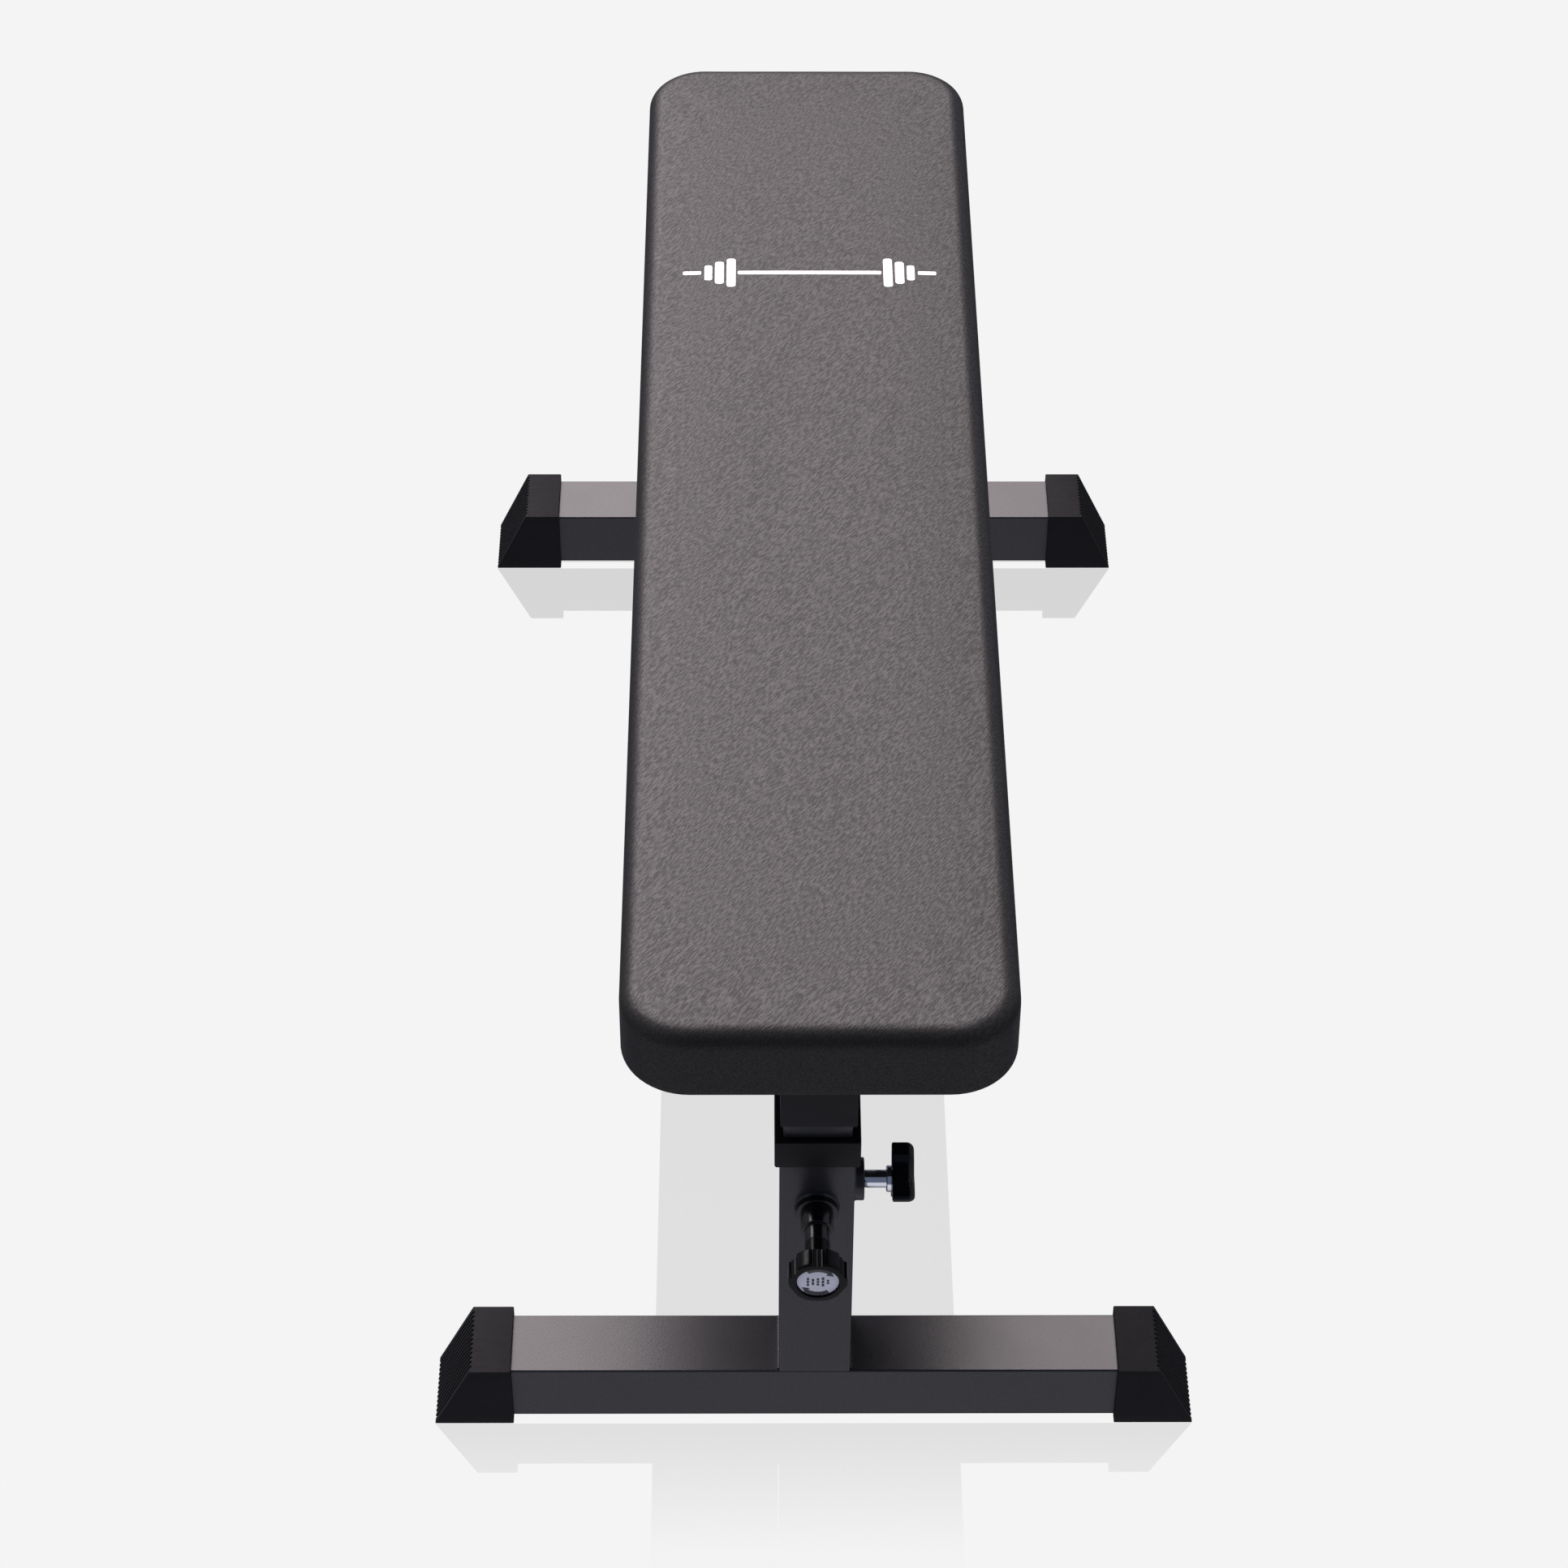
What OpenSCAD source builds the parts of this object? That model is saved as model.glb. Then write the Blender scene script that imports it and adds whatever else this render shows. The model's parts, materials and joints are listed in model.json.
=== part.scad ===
// Flat weight bench with one long pad, set higher or lower on two telescoping legs.
// Each leg is a T-shaped base: a crossbar, an upright tube, a pull pin and a clamp screw.
// Origin: on the floor, midway between the crossbars. +X right, +Y to the rear, +Z up.

/* [Overall] */
// Length of the pad
pad_l = 1072; // [900:1:1300]
// Width of the pad
pad_w = 255; // [220:1:320]
// Thickness of the pad
pad_t = 55; // [45:1:70]
// How far the pad's middle sits behind the middle of the bases
pad_shift = 4; // [0:1:12]
// Height of the main beam's top face at the lowest setting
beam_top = 396; // [380:1:460]
// Length of the main beam over its end caps
beam_l = 1030.4; // [990:0.1:1060]
// Distance between the two crossbars, centre to centre
base_span = 924; // [700:1:960]
// Width of a base over its foot caps
base_w = 537; // [450:1:650]

/* [Tubes] */
// Outer size of the square base and beam tube
tube = 50; // [45:1:60]
// Wall of the base and beam tube
tube_wall = 1.5; // [1.2:0.1:3]
// Outer corner radius of the base and beam tube
tube_r = 1.5; // [1:0.1:5]
// Gap between the inner post and the upright, each side
post_gap = 0.5; // [0.3:0.05:1]
// Wall of the inner post
post_wall = 1.5; // [1.2:0.1:3]

/* [Foot caps] */
// Wall of a foot cap around the tube
cap_wall = 4.3; // [3:0.1:6]
// Length of a foot cap along the floor
cap_l = 55.8; // [45:0.1:80]
// How far the cap's end leans in from floor to top
cap_lean = 27.1; // [15:0.1:35]
// Corner radius of a foot cap
cap_r = 1; // [0.5:0.5:5]
// Depth of the cap's grip grooves
groove_d = 1.2; // [0.5:0.1:2]
// Spacing of the cap's grip grooves
groove_pitch = 4; // [3:0.1:6]

/* [Height setting] */
// Height of the upright's top edge
upright_top = 297; // [280:1:320]
// Height of the pull pin and clamp screw axes
pin_z = 232.5; // [215:0.5:250]
// Spacing of the post's holes
hole_pitch = 20; // [15:1:25]
// Number of steps above the lowest setting
hole_steps = 6; // [2:1:6]
// Wall of the guide sleeve around the upright
sleeve_wall = 3.45; // [3:0.05:5]
// Length of the guide sleeve's skirt below its lip
sleeve_skirt = 19.5; // [12:0.5:30]
// Thickness of the guide sleeve's lip
sleeve_lip = 5; // [3:0.5:8]

/* [Pull pin] */
// Diameter of the locking pin
pin_d = 10; // [8:0.5:12]
// How far the pin reaches in past the post's wall
pin_reach = 4.5; // [3:0.5:8]
// How far the pin is pulled out
pin_travel = 10; // [9:0.5:12]
// Diameter of the pull rod behind the pin
rod_d = 8; // [6:0.5:8.5]
// Diameter of the weld boss
boss_d = 28.5; // [26:0.5:34]
// Length of the weld boss
boss_l = 6.3; // [4:0.1:10]
// Diameter of the barrel's wide part
barrel_d = 22; // [20.5:0.5:24]
// Length of the barrel's wide part past the boss
barrel_l = 14.7; // [10:0.1:20]
// Diameter of the barrel's neck
neck_d = 17.8; // [16:0.1:20]
// Length of the barrel's neck
neck_l = 11.8; // [10:0.1:20]
// Length of the knob's hub
hub_l = 17.7; // [10:0.1:22]
// Diameter of the pull knob
knob_d = 39.5; // [34:0.5:44]
// Length of the pull knob
knob_l = 14.5; // [12:0.1:20]
// Wire diameter of the pin spring
wire_d = 1.4; // [1:0.1:1.6]

/* [Clamp screw] */
// Thread diameter of the clamp screw
screw_d = 12; // [10:1:14]
// Bare length of screw between the nut and the knob's collar
screw_bare = 14.9; // [12:0.1:25]
// Diameter of the weld nut
nut_d = 29; // [24:0.5:34]
// Thickness of the weld nut
nut_l = 7; // [5:0.1:10]
// Diameter of the knob's metal collar
collar_d = 17.8; // [15:0.1:22]
// Length of the knob's metal collar
collar_l = 3.7; // [2:0.1:6]
// Radius over the knob's three lobes
lobe_r = 24.5; // [22:0.5:30]
// Thickness of the lobed knob
lobe_t = 15; // [12:0.5:20]
// Angle of the first lobe above the line to the rear
lobe_angle = 46; // [0:1:119]

/* [Pad] */
// Corner radius of the pad seen from above
pad_r = 45; // [30:1:70]
// Radius of the pad's rounded top edge
edge_r = 13; // [8:1:18]
// Thickness of the vinyl cover
cover_t = 1.2; // [0.8:0.1:2]
// Width of the cover's turned-under edge
cover_turn = 32; // [20:1:50]
// Thickness of the cloth backing
backing_t = 0.8; // [0.5:0.1:1.5]
// How far the backing stops short of the pad's edge
backing_inset = 14; // [8:1:18]
// Thickness of the plywood board
board_t = 12; // [9:1:18]

/* [Pad brackets] */
// Distance of each bracket from the middle of the beam
bracket_y = 300; // [200:1:400]
// Width of a bracket over both wings
bracket_w = 200; // [160:1:210]
// Width of a bracket along the beam
bracket_l = 40; // [30:1:60]
// Thickness of the bracket plate
bracket_t = 4; // [3:0.5:6]
// Distance of each pad bolt from the middle plane
bolt_x = 82; // [70:1:88]
// Thread diameter of the pad bolts
bolt_d = 8; // [6:1:10]

/* [Hidden] */
$fn = 48;
eps = 0.5;
slide_gap = 0.1;
run_gap = 0.05;
board_gap = 0.2;
hole_gap = 0.3;
plug_gap = 0.2;

tube_in = tube - 2 * tube_wall;
tube_in_r = max(tube_r - tube_wall, 0.5);
post = tube_in - 2 * post_gap;
post_r = tube_in_r + post_gap + 0.6;
post_in = post - 2 * post_wall;
post_in_r = max(post_r - post_wall, 0.5);
cap = tube + 2 * cap_wall;
cap_x = base_w / 2 - cap_l;
cap_angle = atan(cap_lean / cap);
bar_z = cap / 2;
bar_top = cap_wall + tube;
cap_end_t = 6;
bar_half = base_w / 2 - cap_lean - cap_end_t;
groove_w = 1.6;
groove_margin = 2;
base_y = -base_span / 2;
face_y = base_y - tube / 2;
beam_z = beam_top - tube / 2;
beam_bottom = beam_top - tube;
end_cap_t = 3.5;
beam_half = beam_l / 2 - end_cap_t;
plug_t = 6;
plug_spigot = 16;
plug_wall = 3;
post_bottom = bar_top + plug_gap + plug_t;
sleeve = tube + 2 * slide_gap + 2 * sleeve_wall;
sleeve_r = tube_r + 0.5;
hole_d = pin_d + 2 * hole_gap;

// Stations along the pull pin, as distances out from the upright's front face.
boss_end = boss_l;
barrel_end = boss_end + barrel_l;
neck_end = barrel_end + neck_l;
hub_end = neck_end + hub_l;
knob_end = hub_end + knob_l;
pin_tip = -(tube_wall + post_gap + post_wall + pin_reach);
barrel_wall = 2.2;
barrel_bevel = 1.5;
boss_bevel = 1;
chamber_d = max(neck_d - 2 * barrel_wall, pin_d + 2);
chamber_start = 3;
chamber_end = neck_end - 2;
pin_bevel = 1.5;
shoulder_t = 2.5;
shoulder_d = chamber_d - 2 * hole_gap;
spring_d = chamber_d - 4 * hole_gap;
spring_start = chamber_start + shoulder_t + run_gap;
spring_l = chamber_end - spring_start - run_gap;
spring_pitch_low = 1.6 * wire_d;
spring_turns = floor((spring_l - pin_travel) / spring_pitch_low);
knob_lobes = 6;
knob_bevel = 2;
finger_r = 8.5;
finger_depth = 1.8;
label_d = 27.8;
label_t = 0.5;
label_gap = 0.5;
knob_recess = 2.1;
rod_end = hub_end + knob_l / 2;

// Stations along the clamp screw, as distances out from the middle plane.
nut_end = tube / 2 + nut_l;
collar_start = nut_end + screw_bare;
collar_end = collar_start + collar_l;
tip_step = 1.2;
tip_d = screw_d - 2 * tip_step;
tip_start = post / 2 + run_gap;
tip_t = 2.5;
spigot_d = 6;
spigot_l = 6;
screw_start = tip_start + tip_t + run_gap;
insert_l = 10;
lobe_tip_r = 3;
lobe_round_r = 5;
lobe_hollow_r = 24;
lobe_hollow_depth = 3;

pad_top = beam_top + pad_t;
cover_z = beam_top + backing_t;
board_z = cover_z + cover_t;
foam_z = board_z + board_t;
bolt_hole_d = bolt_d + 1;
bolt_head_d = bolt_d * 1.85;
bolt_head_t = bolt_d * 0.66;
washer_d = bolt_d * 2;
washer_t = 1.6;
tee_wall = 1.2;
tee_d = bolt_d + 2 * tee_wall;
tee_flange_d = 22;
tee_flange_t = 1.5;
bolt_short = 1;
gusset_l = 34;
gusset_h = 36;
gusset_lip = 4;

// ---------- helpers ----------

// Square outline with round corners, centred.
module soft_square(w, r) {
    square([w - 2 * r, w], center = true);
    square([w, w - 2 * r], center = true);
    for (x = [-1, 1], y = [-1, 1])
        translate([x * (w / 2 - r), y * (w / 2 - r)]) circle(r);
}

// Square tube section, centred.
module tube_section(w, r, wall) {
    difference() {
        soft_square(w, r);
        soft_square(w - 2 * wall, max(r - wall, 0.5));
    }
}

// Cylinder along an axis that leaves the front face outwards, between two stations.
module pin_cylinder(d, from, to) {
    translate([0, face_y - from, pin_z]) rotate([90, 0, 0]) cylinder(d = d, h = to - from);
}

// Cone between two stations of the pull pin's axis.
module pin_cone(d_from, d_to, from, to) {
    translate([0, face_y - from, pin_z])
        rotate([90, 0, 0]) cylinder(d1 = d_from, d2 = d_to, h = to - from);
}

// Cylinder along the clamp screw's axis, between two stations.
module screw_cylinder(d, from, to) {
    translate([from, base_y, pin_z]) rotate([0, 90, 0]) cylinder(d = d, h = to - from);
}

// Turns a piece of the front leg round into the rear leg.
module at_rear() {
    rotate([0, 0, 180]) children();
}

// The four pad bolts' places.
module each_bolt() {
    for (x = [-1, 1], y = [-1, 1]) translate([x * bolt_x, y * bracket_y, 0]) children();
}

// ---------- base ----------

module crossbar() {
    color("#38383e")
        translate([-bar_half, base_y, bar_z])
            rotate([90, 0, 90]) linear_extrude(2 * bar_half) tube_section(tube, tube_r, tube_wall);
}

module cap_side() {
    polygon([
        [cap_x, 0], [base_w / 2, 0], [base_w / 2 - cap_lean, cap], [cap_x, cap]
    ]);
}

module foot_cap() {
    grooves = floor((cap - 2 * groove_margin) / groove_pitch);
    lean_l = sqrt(cap * cap + cap_lean * cap_lean);
    color("#1c1c1e") translate([0, base_y, 0]) difference() {
        intersection() {
            translate([cap_x, 0, bar_z])
                rotate([90, 0, 90]) linear_extrude(cap_l) soft_square(cap, cap_r);
            translate([0, cap / 2, 0]) rotate([90, 0, 0]) linear_extrude(cap) cap_side();
        }
        // socket for the tube
        translate([cap_x - eps, 0, bar_z]) rotate([90, 0, 90])
            linear_extrude(bar_half + run_gap - cap_x + eps)
                soft_square(tube + 2 * run_gap, tube_r);
        // grip grooves up the leaning end
        translate([base_w / 2, 0, 0]) rotate([0, -cap_angle, 0])
            for (i = [0 : grooves - 1])
                translate([-groove_d, (i - (grooves - 1) / 2) * groove_pitch - groove_w / 2, -eps])
                    cube([2 * groove_d, groove_w, lean_l + 2 * eps]);
    }
}

module upright() {
    color("#38383e") difference() {
        translate([0, base_y, bar_top])
            linear_extrude(upright_top - bar_top) tube_section(tube, tube_r, tube_wall);
        pin_cylinder(pin_d + 2 * run_gap, -tube_wall - eps, eps);
        screw_cylinder(screw_d + 2 * hole_gap, tube / 2 - tube_wall - eps, tube / 2 + eps);
    }
}

module sleeve() {
    color("#0e0e10") difference() {
        translate([0, base_y, upright_top - sleeve_skirt])
            linear_extrude(sleeve_skirt + sleeve_lip) soft_square(sleeve, sleeve_r);
        translate([0, base_y, upright_top - sleeve_skirt - eps])
            linear_extrude(sleeve_skirt + eps) soft_square(tube + 2 * slide_gap, tube_r);
        translate([0, base_y, upright_top - eps])
            linear_extrude(sleeve_lip + 2 * eps) soft_square(post + 2 * slide_gap, post_r);
    }
}

// ---------- pull pin ----------

module boss() {
    color("#2a2a2e") difference() {
        union() {
            pin_cylinder(boss_d, 0, boss_end - boss_bevel);
            pin_cone(boss_d, boss_d - 2 * boss_bevel, boss_end - boss_bevel, boss_end);
        }
        pin_cylinder(barrel_d, -eps, boss_end + eps);
    }
}

module barrel() {
    color("#303034") difference() {
        union() {
            pin_cylinder(barrel_d, 0, barrel_end - barrel_bevel);
            pin_cone(barrel_d, neck_d, barrel_end - barrel_bevel, barrel_end);
            pin_cylinder(neck_d, barrel_end, neck_end);
        }
        pin_cylinder(pin_d + 2 * run_gap, -eps, chamber_start + eps);
        pin_cylinder(chamber_d, chamber_start, chamber_end);
        pin_cylinder(rod_d + 2 * run_gap, chamber_end - eps, neck_end + eps);
    }
}

// Coil of round wire from its fixed end, as rings swept along the helix.
module spring() {
    rings = 16 * spring_turns;
    sides = 8;
    mean_r = (spring_d - wire_d) / 2;
    rise = spring_l - wire_d;
    points = [
        for (i = [0 : rings], s = [0 : sides - 1])
            let (turn = 360 * spring_turns * i / rings, side = 360 * s / sides,
                 r = mean_r + wire_d / 2 * cos(side))
                [r * cos(turn), r * sin(turn), rise * i / rings + wire_d / 2 * sin(side)]
    ];
    walls = [
        for (i = [0 : rings - 1], s = [0 : sides - 1])
            let (a = i * sides + s, b = i * sides + (s + 1) % sides)
                [a, a + sides, b + sides, b]
    ];
    ends = [
        [for (s = [0 : sides - 1]) s],
        [for (s = [sides - 1 : -1 : 0]) rings * sides + s]
    ];
    color("#b8bcc2") translate([0, face_y - spring_start - wire_d / 2, pin_z])
        rotate([90, 0, 0]) polyhedron(points, concat(walls, ends));
}

module pin() {
    color("#b8bcc2") {
        pin_cone(pin_d - 2 * pin_bevel, pin_d, pin_tip, pin_tip + pin_bevel);
        pin_cylinder(pin_d, pin_tip + pin_bevel, chamber_start + shoulder_t);
        pin_cylinder(shoulder_d, chamber_start + run_gap, chamber_start + shoulder_t);
        pin_cylinder(rod_d, chamber_start, rod_end);
    }
}

module pin_knob() {
    color("#141416") difference() {
        union() {
            pin_cylinder(neck_d, neck_end + run_gap, hub_end);
            pin_cylinder(knob_d, hub_end, knob_end - knob_bevel);
            pin_cone(knob_d, knob_d - 2 * knob_bevel, knob_end - knob_bevel, knob_end);
        }
        pin_cylinder(rod_d, neck_end - eps, rod_end);
        pin_cylinder(label_d + 2 * label_gap, knob_end - knob_recess, knob_end + eps);
        // finger grooves between the lobes
        for (i = [0 : knob_lobes - 1])
            translate([0, face_y - hub_end + eps, pin_z]) rotate([90, 0, 0])
                rotate([0, 0, (i + 0.5) * 360 / knob_lobes])
                    translate([knob_d / 2 - finger_depth + finger_r, 0, 0])
                        cylinder(r = finger_r, h = knob_l + 2 * eps);
    }
}

module pin_label() {
    color("#c9c9d0") pin_cylinder(label_d, knob_end - knob_recess, knob_end - knob_recess + label_t);
}

// ---------- clamp screw ----------

module clamp_nut() {
    color("#232327") difference() {
        screw_cylinder(nut_d, tube / 2, nut_end);
        screw_cylinder(screw_d + 2 * run_gap, tube / 2 - eps, nut_end + eps);
    }
}

module clamp_tip() {
    color("#c8a050") {
        screw_cylinder(tip_d, tip_start, tip_start + tip_t);
        screw_cylinder(spigot_d, tip_start, tip_start + tip_t + spigot_l);
    }
}

module clamp_screw() {
    color("#d8dbe0") difference() {
        union() {
            screw_cylinder(screw_d, screw_start, collar_start);
            screw_cylinder(collar_d, collar_start, collar_end);
            screw_cylinder(screw_d, collar_end, collar_end + insert_l);
        }
        screw_cylinder(spigot_d + 2 * run_gap, screw_start - eps,
                       tip_start + tip_t + spigot_l + run_gap);
    }
}

// Outline of the three-lobed knob: a round-cornered triangle with its sides hollowed.
module lobed_outline() {
    side = (lobe_r - lobe_tip_r) / 2 + lobe_tip_r;
    difference() {
        hull()
            for (i = [0 : 2])
                rotate([0, 0, i * 120]) translate([lobe_r - lobe_tip_r, 0]) circle(lobe_tip_r);
        for (i = [0 : 2])
            rotate([0, 0, 60 + i * 120])
                translate([side - lobe_hollow_depth + lobe_hollow_r, 0]) circle(lobe_hollow_r);
    }
}

module clamp_knob() {
    color("#0c0c0e") translate([collar_end, base_y, pin_z]) difference() {
        rotate([0, 90, 0]) intersection() {
            // lobe_angle is measured from the rear, turning up
            rotate([0, 0, 90 + lobe_angle]) linear_extrude(lobe_t) lobed_outline();
            rotate_extrude() {
                square([lobe_r, lobe_t - lobe_round_r]);
                square([lobe_r - lobe_round_r, lobe_t]);
                translate([lobe_r - lobe_round_r, lobe_t - lobe_round_r]) circle(lobe_round_r);
            }
        }
        rotate([0, 90, 0]) translate([0, 0, -eps]) cylinder(d = screw_d, h = insert_l + eps);
    }
}

// ---------- seat frame ----------

module leg_post() {
    color("#2f2f34") difference() {
        translate([0, base_y, post_bottom])
            linear_extrude(beam_bottom - post_bottom) tube_section(post, post_r, post_wall);
        for (i = [0 : hole_steps])
            translate([0, 0, -i * hole_pitch])
                pin_cylinder(hole_d, -tube_wall - post_gap - post_wall - eps,
                             -tube_wall - post_gap + eps);
    }
}

module post_plug() {
    color("#161618") difference() {
        union() {
            translate([0, base_y, post_bottom - plug_t])
                linear_extrude(plug_t) soft_square(tube_in - 2 * slide_gap, tube_in_r + 0.6);
            translate([0, base_y, post_bottom - eps])
                linear_extrude(plug_spigot + eps) soft_square(post_in - 2 * run_gap, post_in_r);
        }
        translate([0, base_y, post_bottom])
            linear_extrude(plug_spigot + eps)
                soft_square(post_in - 2 * plug_wall, post_in_r);
    }
}

module main_beam() {
    color("#2f2f34") translate([0, beam_half, beam_z])
        rotate([90, 0, 0]) linear_extrude(2 * beam_half) tube_section(tube, tube_r, tube_wall);
}

module beam_cap() {
    color("#19191b") difference() {
        translate([0, -beam_half, beam_z]) rotate([90, 0, 0]) union() {
            linear_extrude(end_cap_t) soft_square(tube, tube_r);
            translate([0, 0, -plug_spigot])
                linear_extrude(plug_spigot + eps)
                    soft_square(tube_in - 2 * run_gap, tube_in_r);
        }
        translate([0, -beam_half, beam_z]) rotate([90, 0, 0])
            translate([0, 0, -plug_spigot - eps])
                linear_extrude(plug_spigot + eps)
                    soft_square(tube_in - 2 * plug_wall, tube_in_r);
    }
}

// Wing plate with its gusset, for the right side of the beam.
module bracket_wing() {
    wing_l = bracket_w / 2 - tube / 2;
    difference() {
        union() {
            translate([tube / 2, -bracket_l / 2, beam_top - bracket_t])
                cube([wing_l, bracket_l, bracket_t]);
            translate([0, bracket_t / 2, beam_top - bracket_t])
                rotate([90, 0, 0]) linear_extrude(bracket_t)
                    polygon([
                        [tube / 2, 0], [tube / 2 + gusset_l, 0],
                        [tube / 2 + gusset_l, -gusset_lip],
                        [tube / 2 + gusset_lip, -gusset_h],
                        [tube / 2, -gusset_h]
                    ]);
        }
        translate([bolt_x, 0, beam_top - bracket_t - eps])
            cylinder(d = bolt_hole_d, h = bracket_t + 2 * eps);
    }
}

module pad_bracket() {
    color("#2f2f34") translate([0, -bracket_y, 0]) {
        bracket_wing();
        mirror([1, 0, 0]) bracket_wing();
    }
}

// ---------- fasteners ----------

module pad_bolts() {
    head_z = beam_top - bracket_t - washer_t - bolt_head_t;
    color("#a9adb3") each_bolt() {
        translate([0, 0, head_z]) cylinder(d = bolt_head_d, h = bolt_head_t, $fn = 6);
        translate([0, 0, head_z + bolt_head_t])
            cylinder(d = bolt_d, h = foam_z - head_z - bolt_head_t - bolt_short);
    }
}

module pad_washers() {
    color("#b5b8bd") each_bolt()
        translate([0, 0, beam_top - bracket_t - washer_t]) difference() {
            cylinder(d = washer_d, h = washer_t);
            translate([0, 0, -eps])
                cylinder(d = bolt_d + 4 * slide_gap, h = washer_t + 2 * eps);
        }
}

module tee_nuts() {
    color("#9da1a7") each_bolt() difference() {
        union() {
            translate([0, 0, board_z + bolt_short])
                cylinder(d = tee_d, h = board_t - bolt_short);
            translate([0, 0, foam_z]) cylinder(d = tee_flange_d, h = tee_flange_t);
        }
        translate([0, 0, board_z])
            cylinder(d = bolt_d + 2 * run_gap, h = board_t + tee_flange_t + eps);
    }
}

// ---------- pad ----------

// Outline of the pad seen from above, drawn in from its edge.
module pad_outline(inset) {
    r = pad_r - inset;
    w = pad_w - 2 * inset;
    l = pad_l - 2 * inset;
    square([w - 2 * r, l], center = true);
    square([w, l - 2 * r], center = true);
    for (x = [-1, 1], y = [-1, 1])
        translate([x * (w / 2 - r), y * (l / 2 - r)]) circle(r);
}

// Flat layer of the pad with the pad's outline.
module pad_layer(inset, z, t) {
    translate([0, pad_shift, z]) linear_extrude(t) pad_outline(inset);
}

// Cushion form: the pad's outline with its top edge rounded over.
module cushion(inset, z_low, z_high) {
    r = pad_r - inset;
    round_r = edge_r - inset;
    steps = 5;
    translate([0, pad_shift, 0]) hull()
        for (x = [-1, 1], y = [-1, 1])
            translate([x * (pad_w / 2 - pad_r), y * (pad_l / 2 - pad_r), 0])
                rotate_extrude($fn = 40) polygon(concat(
                    [[0, z_low], [r, z_low]],
                    [for (i = [0 : steps])
                        [r - round_r + round_r * cos(90 * i / steps),
                         z_high - round_r + round_r * sin(90 * i / steps)]],
                    [[0, z_high]]
                ));
}

module pad_board() {
    color("#b98f5c") difference() {
        pad_layer(cover_t + board_gap, board_z, board_t);
        each_bolt() translate([0, 0, board_z - eps]) cylinder(d = tee_d, h = board_t + 2 * eps);
    }
}

module pad_foam() {
    color("#d9d2bd") difference() {
        cushion(cover_t + run_gap, foam_z + run_gap, pad_top - cover_t - run_gap);
        each_bolt() translate([0, 0, foam_z])
            cylinder(d = tee_flange_d + 2 * hole_gap, h = tee_flange_t + board_gap);
    }
}

module pad_cover() {
    color("#6c6666") difference() {
        cushion(0, cover_z, pad_top);
        cushion(cover_t, board_z, pad_top - cover_t);
        pad_layer(cover_turn, cover_z - eps, cover_t + 2 * eps);
    }
}

module pad_backing() {
    color("#26262a") difference() {
        pad_layer(backing_inset, beam_top, backing_t);
        each_bolt() translate([0, 0, beam_top - eps])
            cylinder(d = bolt_hole_d, h = backing_t + 2 * eps);
    }
}

crossbar();  // front_crossbar
mirror([1, 0, 0]) foot_cap();  // front_cap_left
foot_cap();  // front_cap_right
upright();  // front_upright
sleeve();  // front_sleeve
boss();  // front_boss
barrel();  // front_barrel
spring();  // front_spring
pin();  // front_pin
pin_knob();  // front_pin_knob
pin_label();  // front_pin_label
clamp_nut();  // front_clamp_nut
clamp_tip();  // front_clamp_tip
clamp_screw();  // front_clamp_screw
clamp_knob();  // front_clamp_knob
leg_post();  // front_post
post_plug();  // front_post_plug
at_rear() crossbar();  // rear_crossbar
at_rear() foot_cap();  // rear_cap_left
at_rear() mirror([1, 0, 0]) foot_cap();  // rear_cap_right
at_rear() upright();  // rear_upright
at_rear() sleeve();  // rear_sleeve
at_rear() boss();  // rear_boss
at_rear() barrel();  // rear_barrel
at_rear() spring();  // rear_spring
at_rear() pin();  // rear_pin
at_rear() pin_knob();  // rear_pin_knob
at_rear() pin_label();  // rear_pin_label
at_rear() clamp_nut();  // rear_clamp_nut
at_rear() clamp_tip();  // rear_clamp_tip
at_rear() clamp_screw();  // rear_clamp_screw
at_rear() clamp_knob();  // rear_clamp_knob
at_rear() leg_post();  // rear_post
at_rear() post_plug();  // rear_post_plug
main_beam();
beam_cap();  // beam_cap_front
at_rear() beam_cap();  // beam_cap_rear
pad_bracket();  // pad_bracket_front
at_rear() pad_bracket();  // pad_bracket_rear
pad_bolts();
pad_washers();
tee_nuts();
pad_board();
pad_foam();
pad_cover();
pad_backing();
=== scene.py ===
import json
import math

import bmesh
import bpy
from mathutils import Matrix, Vector, kdtree


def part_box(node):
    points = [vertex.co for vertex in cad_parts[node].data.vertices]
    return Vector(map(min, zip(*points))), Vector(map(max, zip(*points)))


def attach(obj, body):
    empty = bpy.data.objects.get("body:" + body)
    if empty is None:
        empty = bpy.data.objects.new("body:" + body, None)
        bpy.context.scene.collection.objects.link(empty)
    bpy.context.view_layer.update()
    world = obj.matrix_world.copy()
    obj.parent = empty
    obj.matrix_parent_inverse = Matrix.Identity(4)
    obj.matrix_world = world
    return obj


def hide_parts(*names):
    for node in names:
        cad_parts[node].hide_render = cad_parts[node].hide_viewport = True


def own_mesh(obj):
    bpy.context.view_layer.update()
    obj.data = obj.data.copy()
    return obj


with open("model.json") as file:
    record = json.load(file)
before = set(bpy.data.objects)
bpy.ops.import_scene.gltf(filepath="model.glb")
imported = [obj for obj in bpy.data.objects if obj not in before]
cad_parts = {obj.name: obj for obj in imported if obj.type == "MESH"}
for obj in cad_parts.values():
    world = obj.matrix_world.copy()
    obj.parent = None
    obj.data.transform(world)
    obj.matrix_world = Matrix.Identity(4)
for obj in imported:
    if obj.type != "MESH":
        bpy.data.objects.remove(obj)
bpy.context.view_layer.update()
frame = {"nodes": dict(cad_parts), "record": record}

MM = 0.001
ENDS = {"front": Matrix.Identity(4), "rear": Matrix.Rotation(math.pi, 4, "Z")}


# ---------------------------------------------------------------- places from the frame

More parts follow.
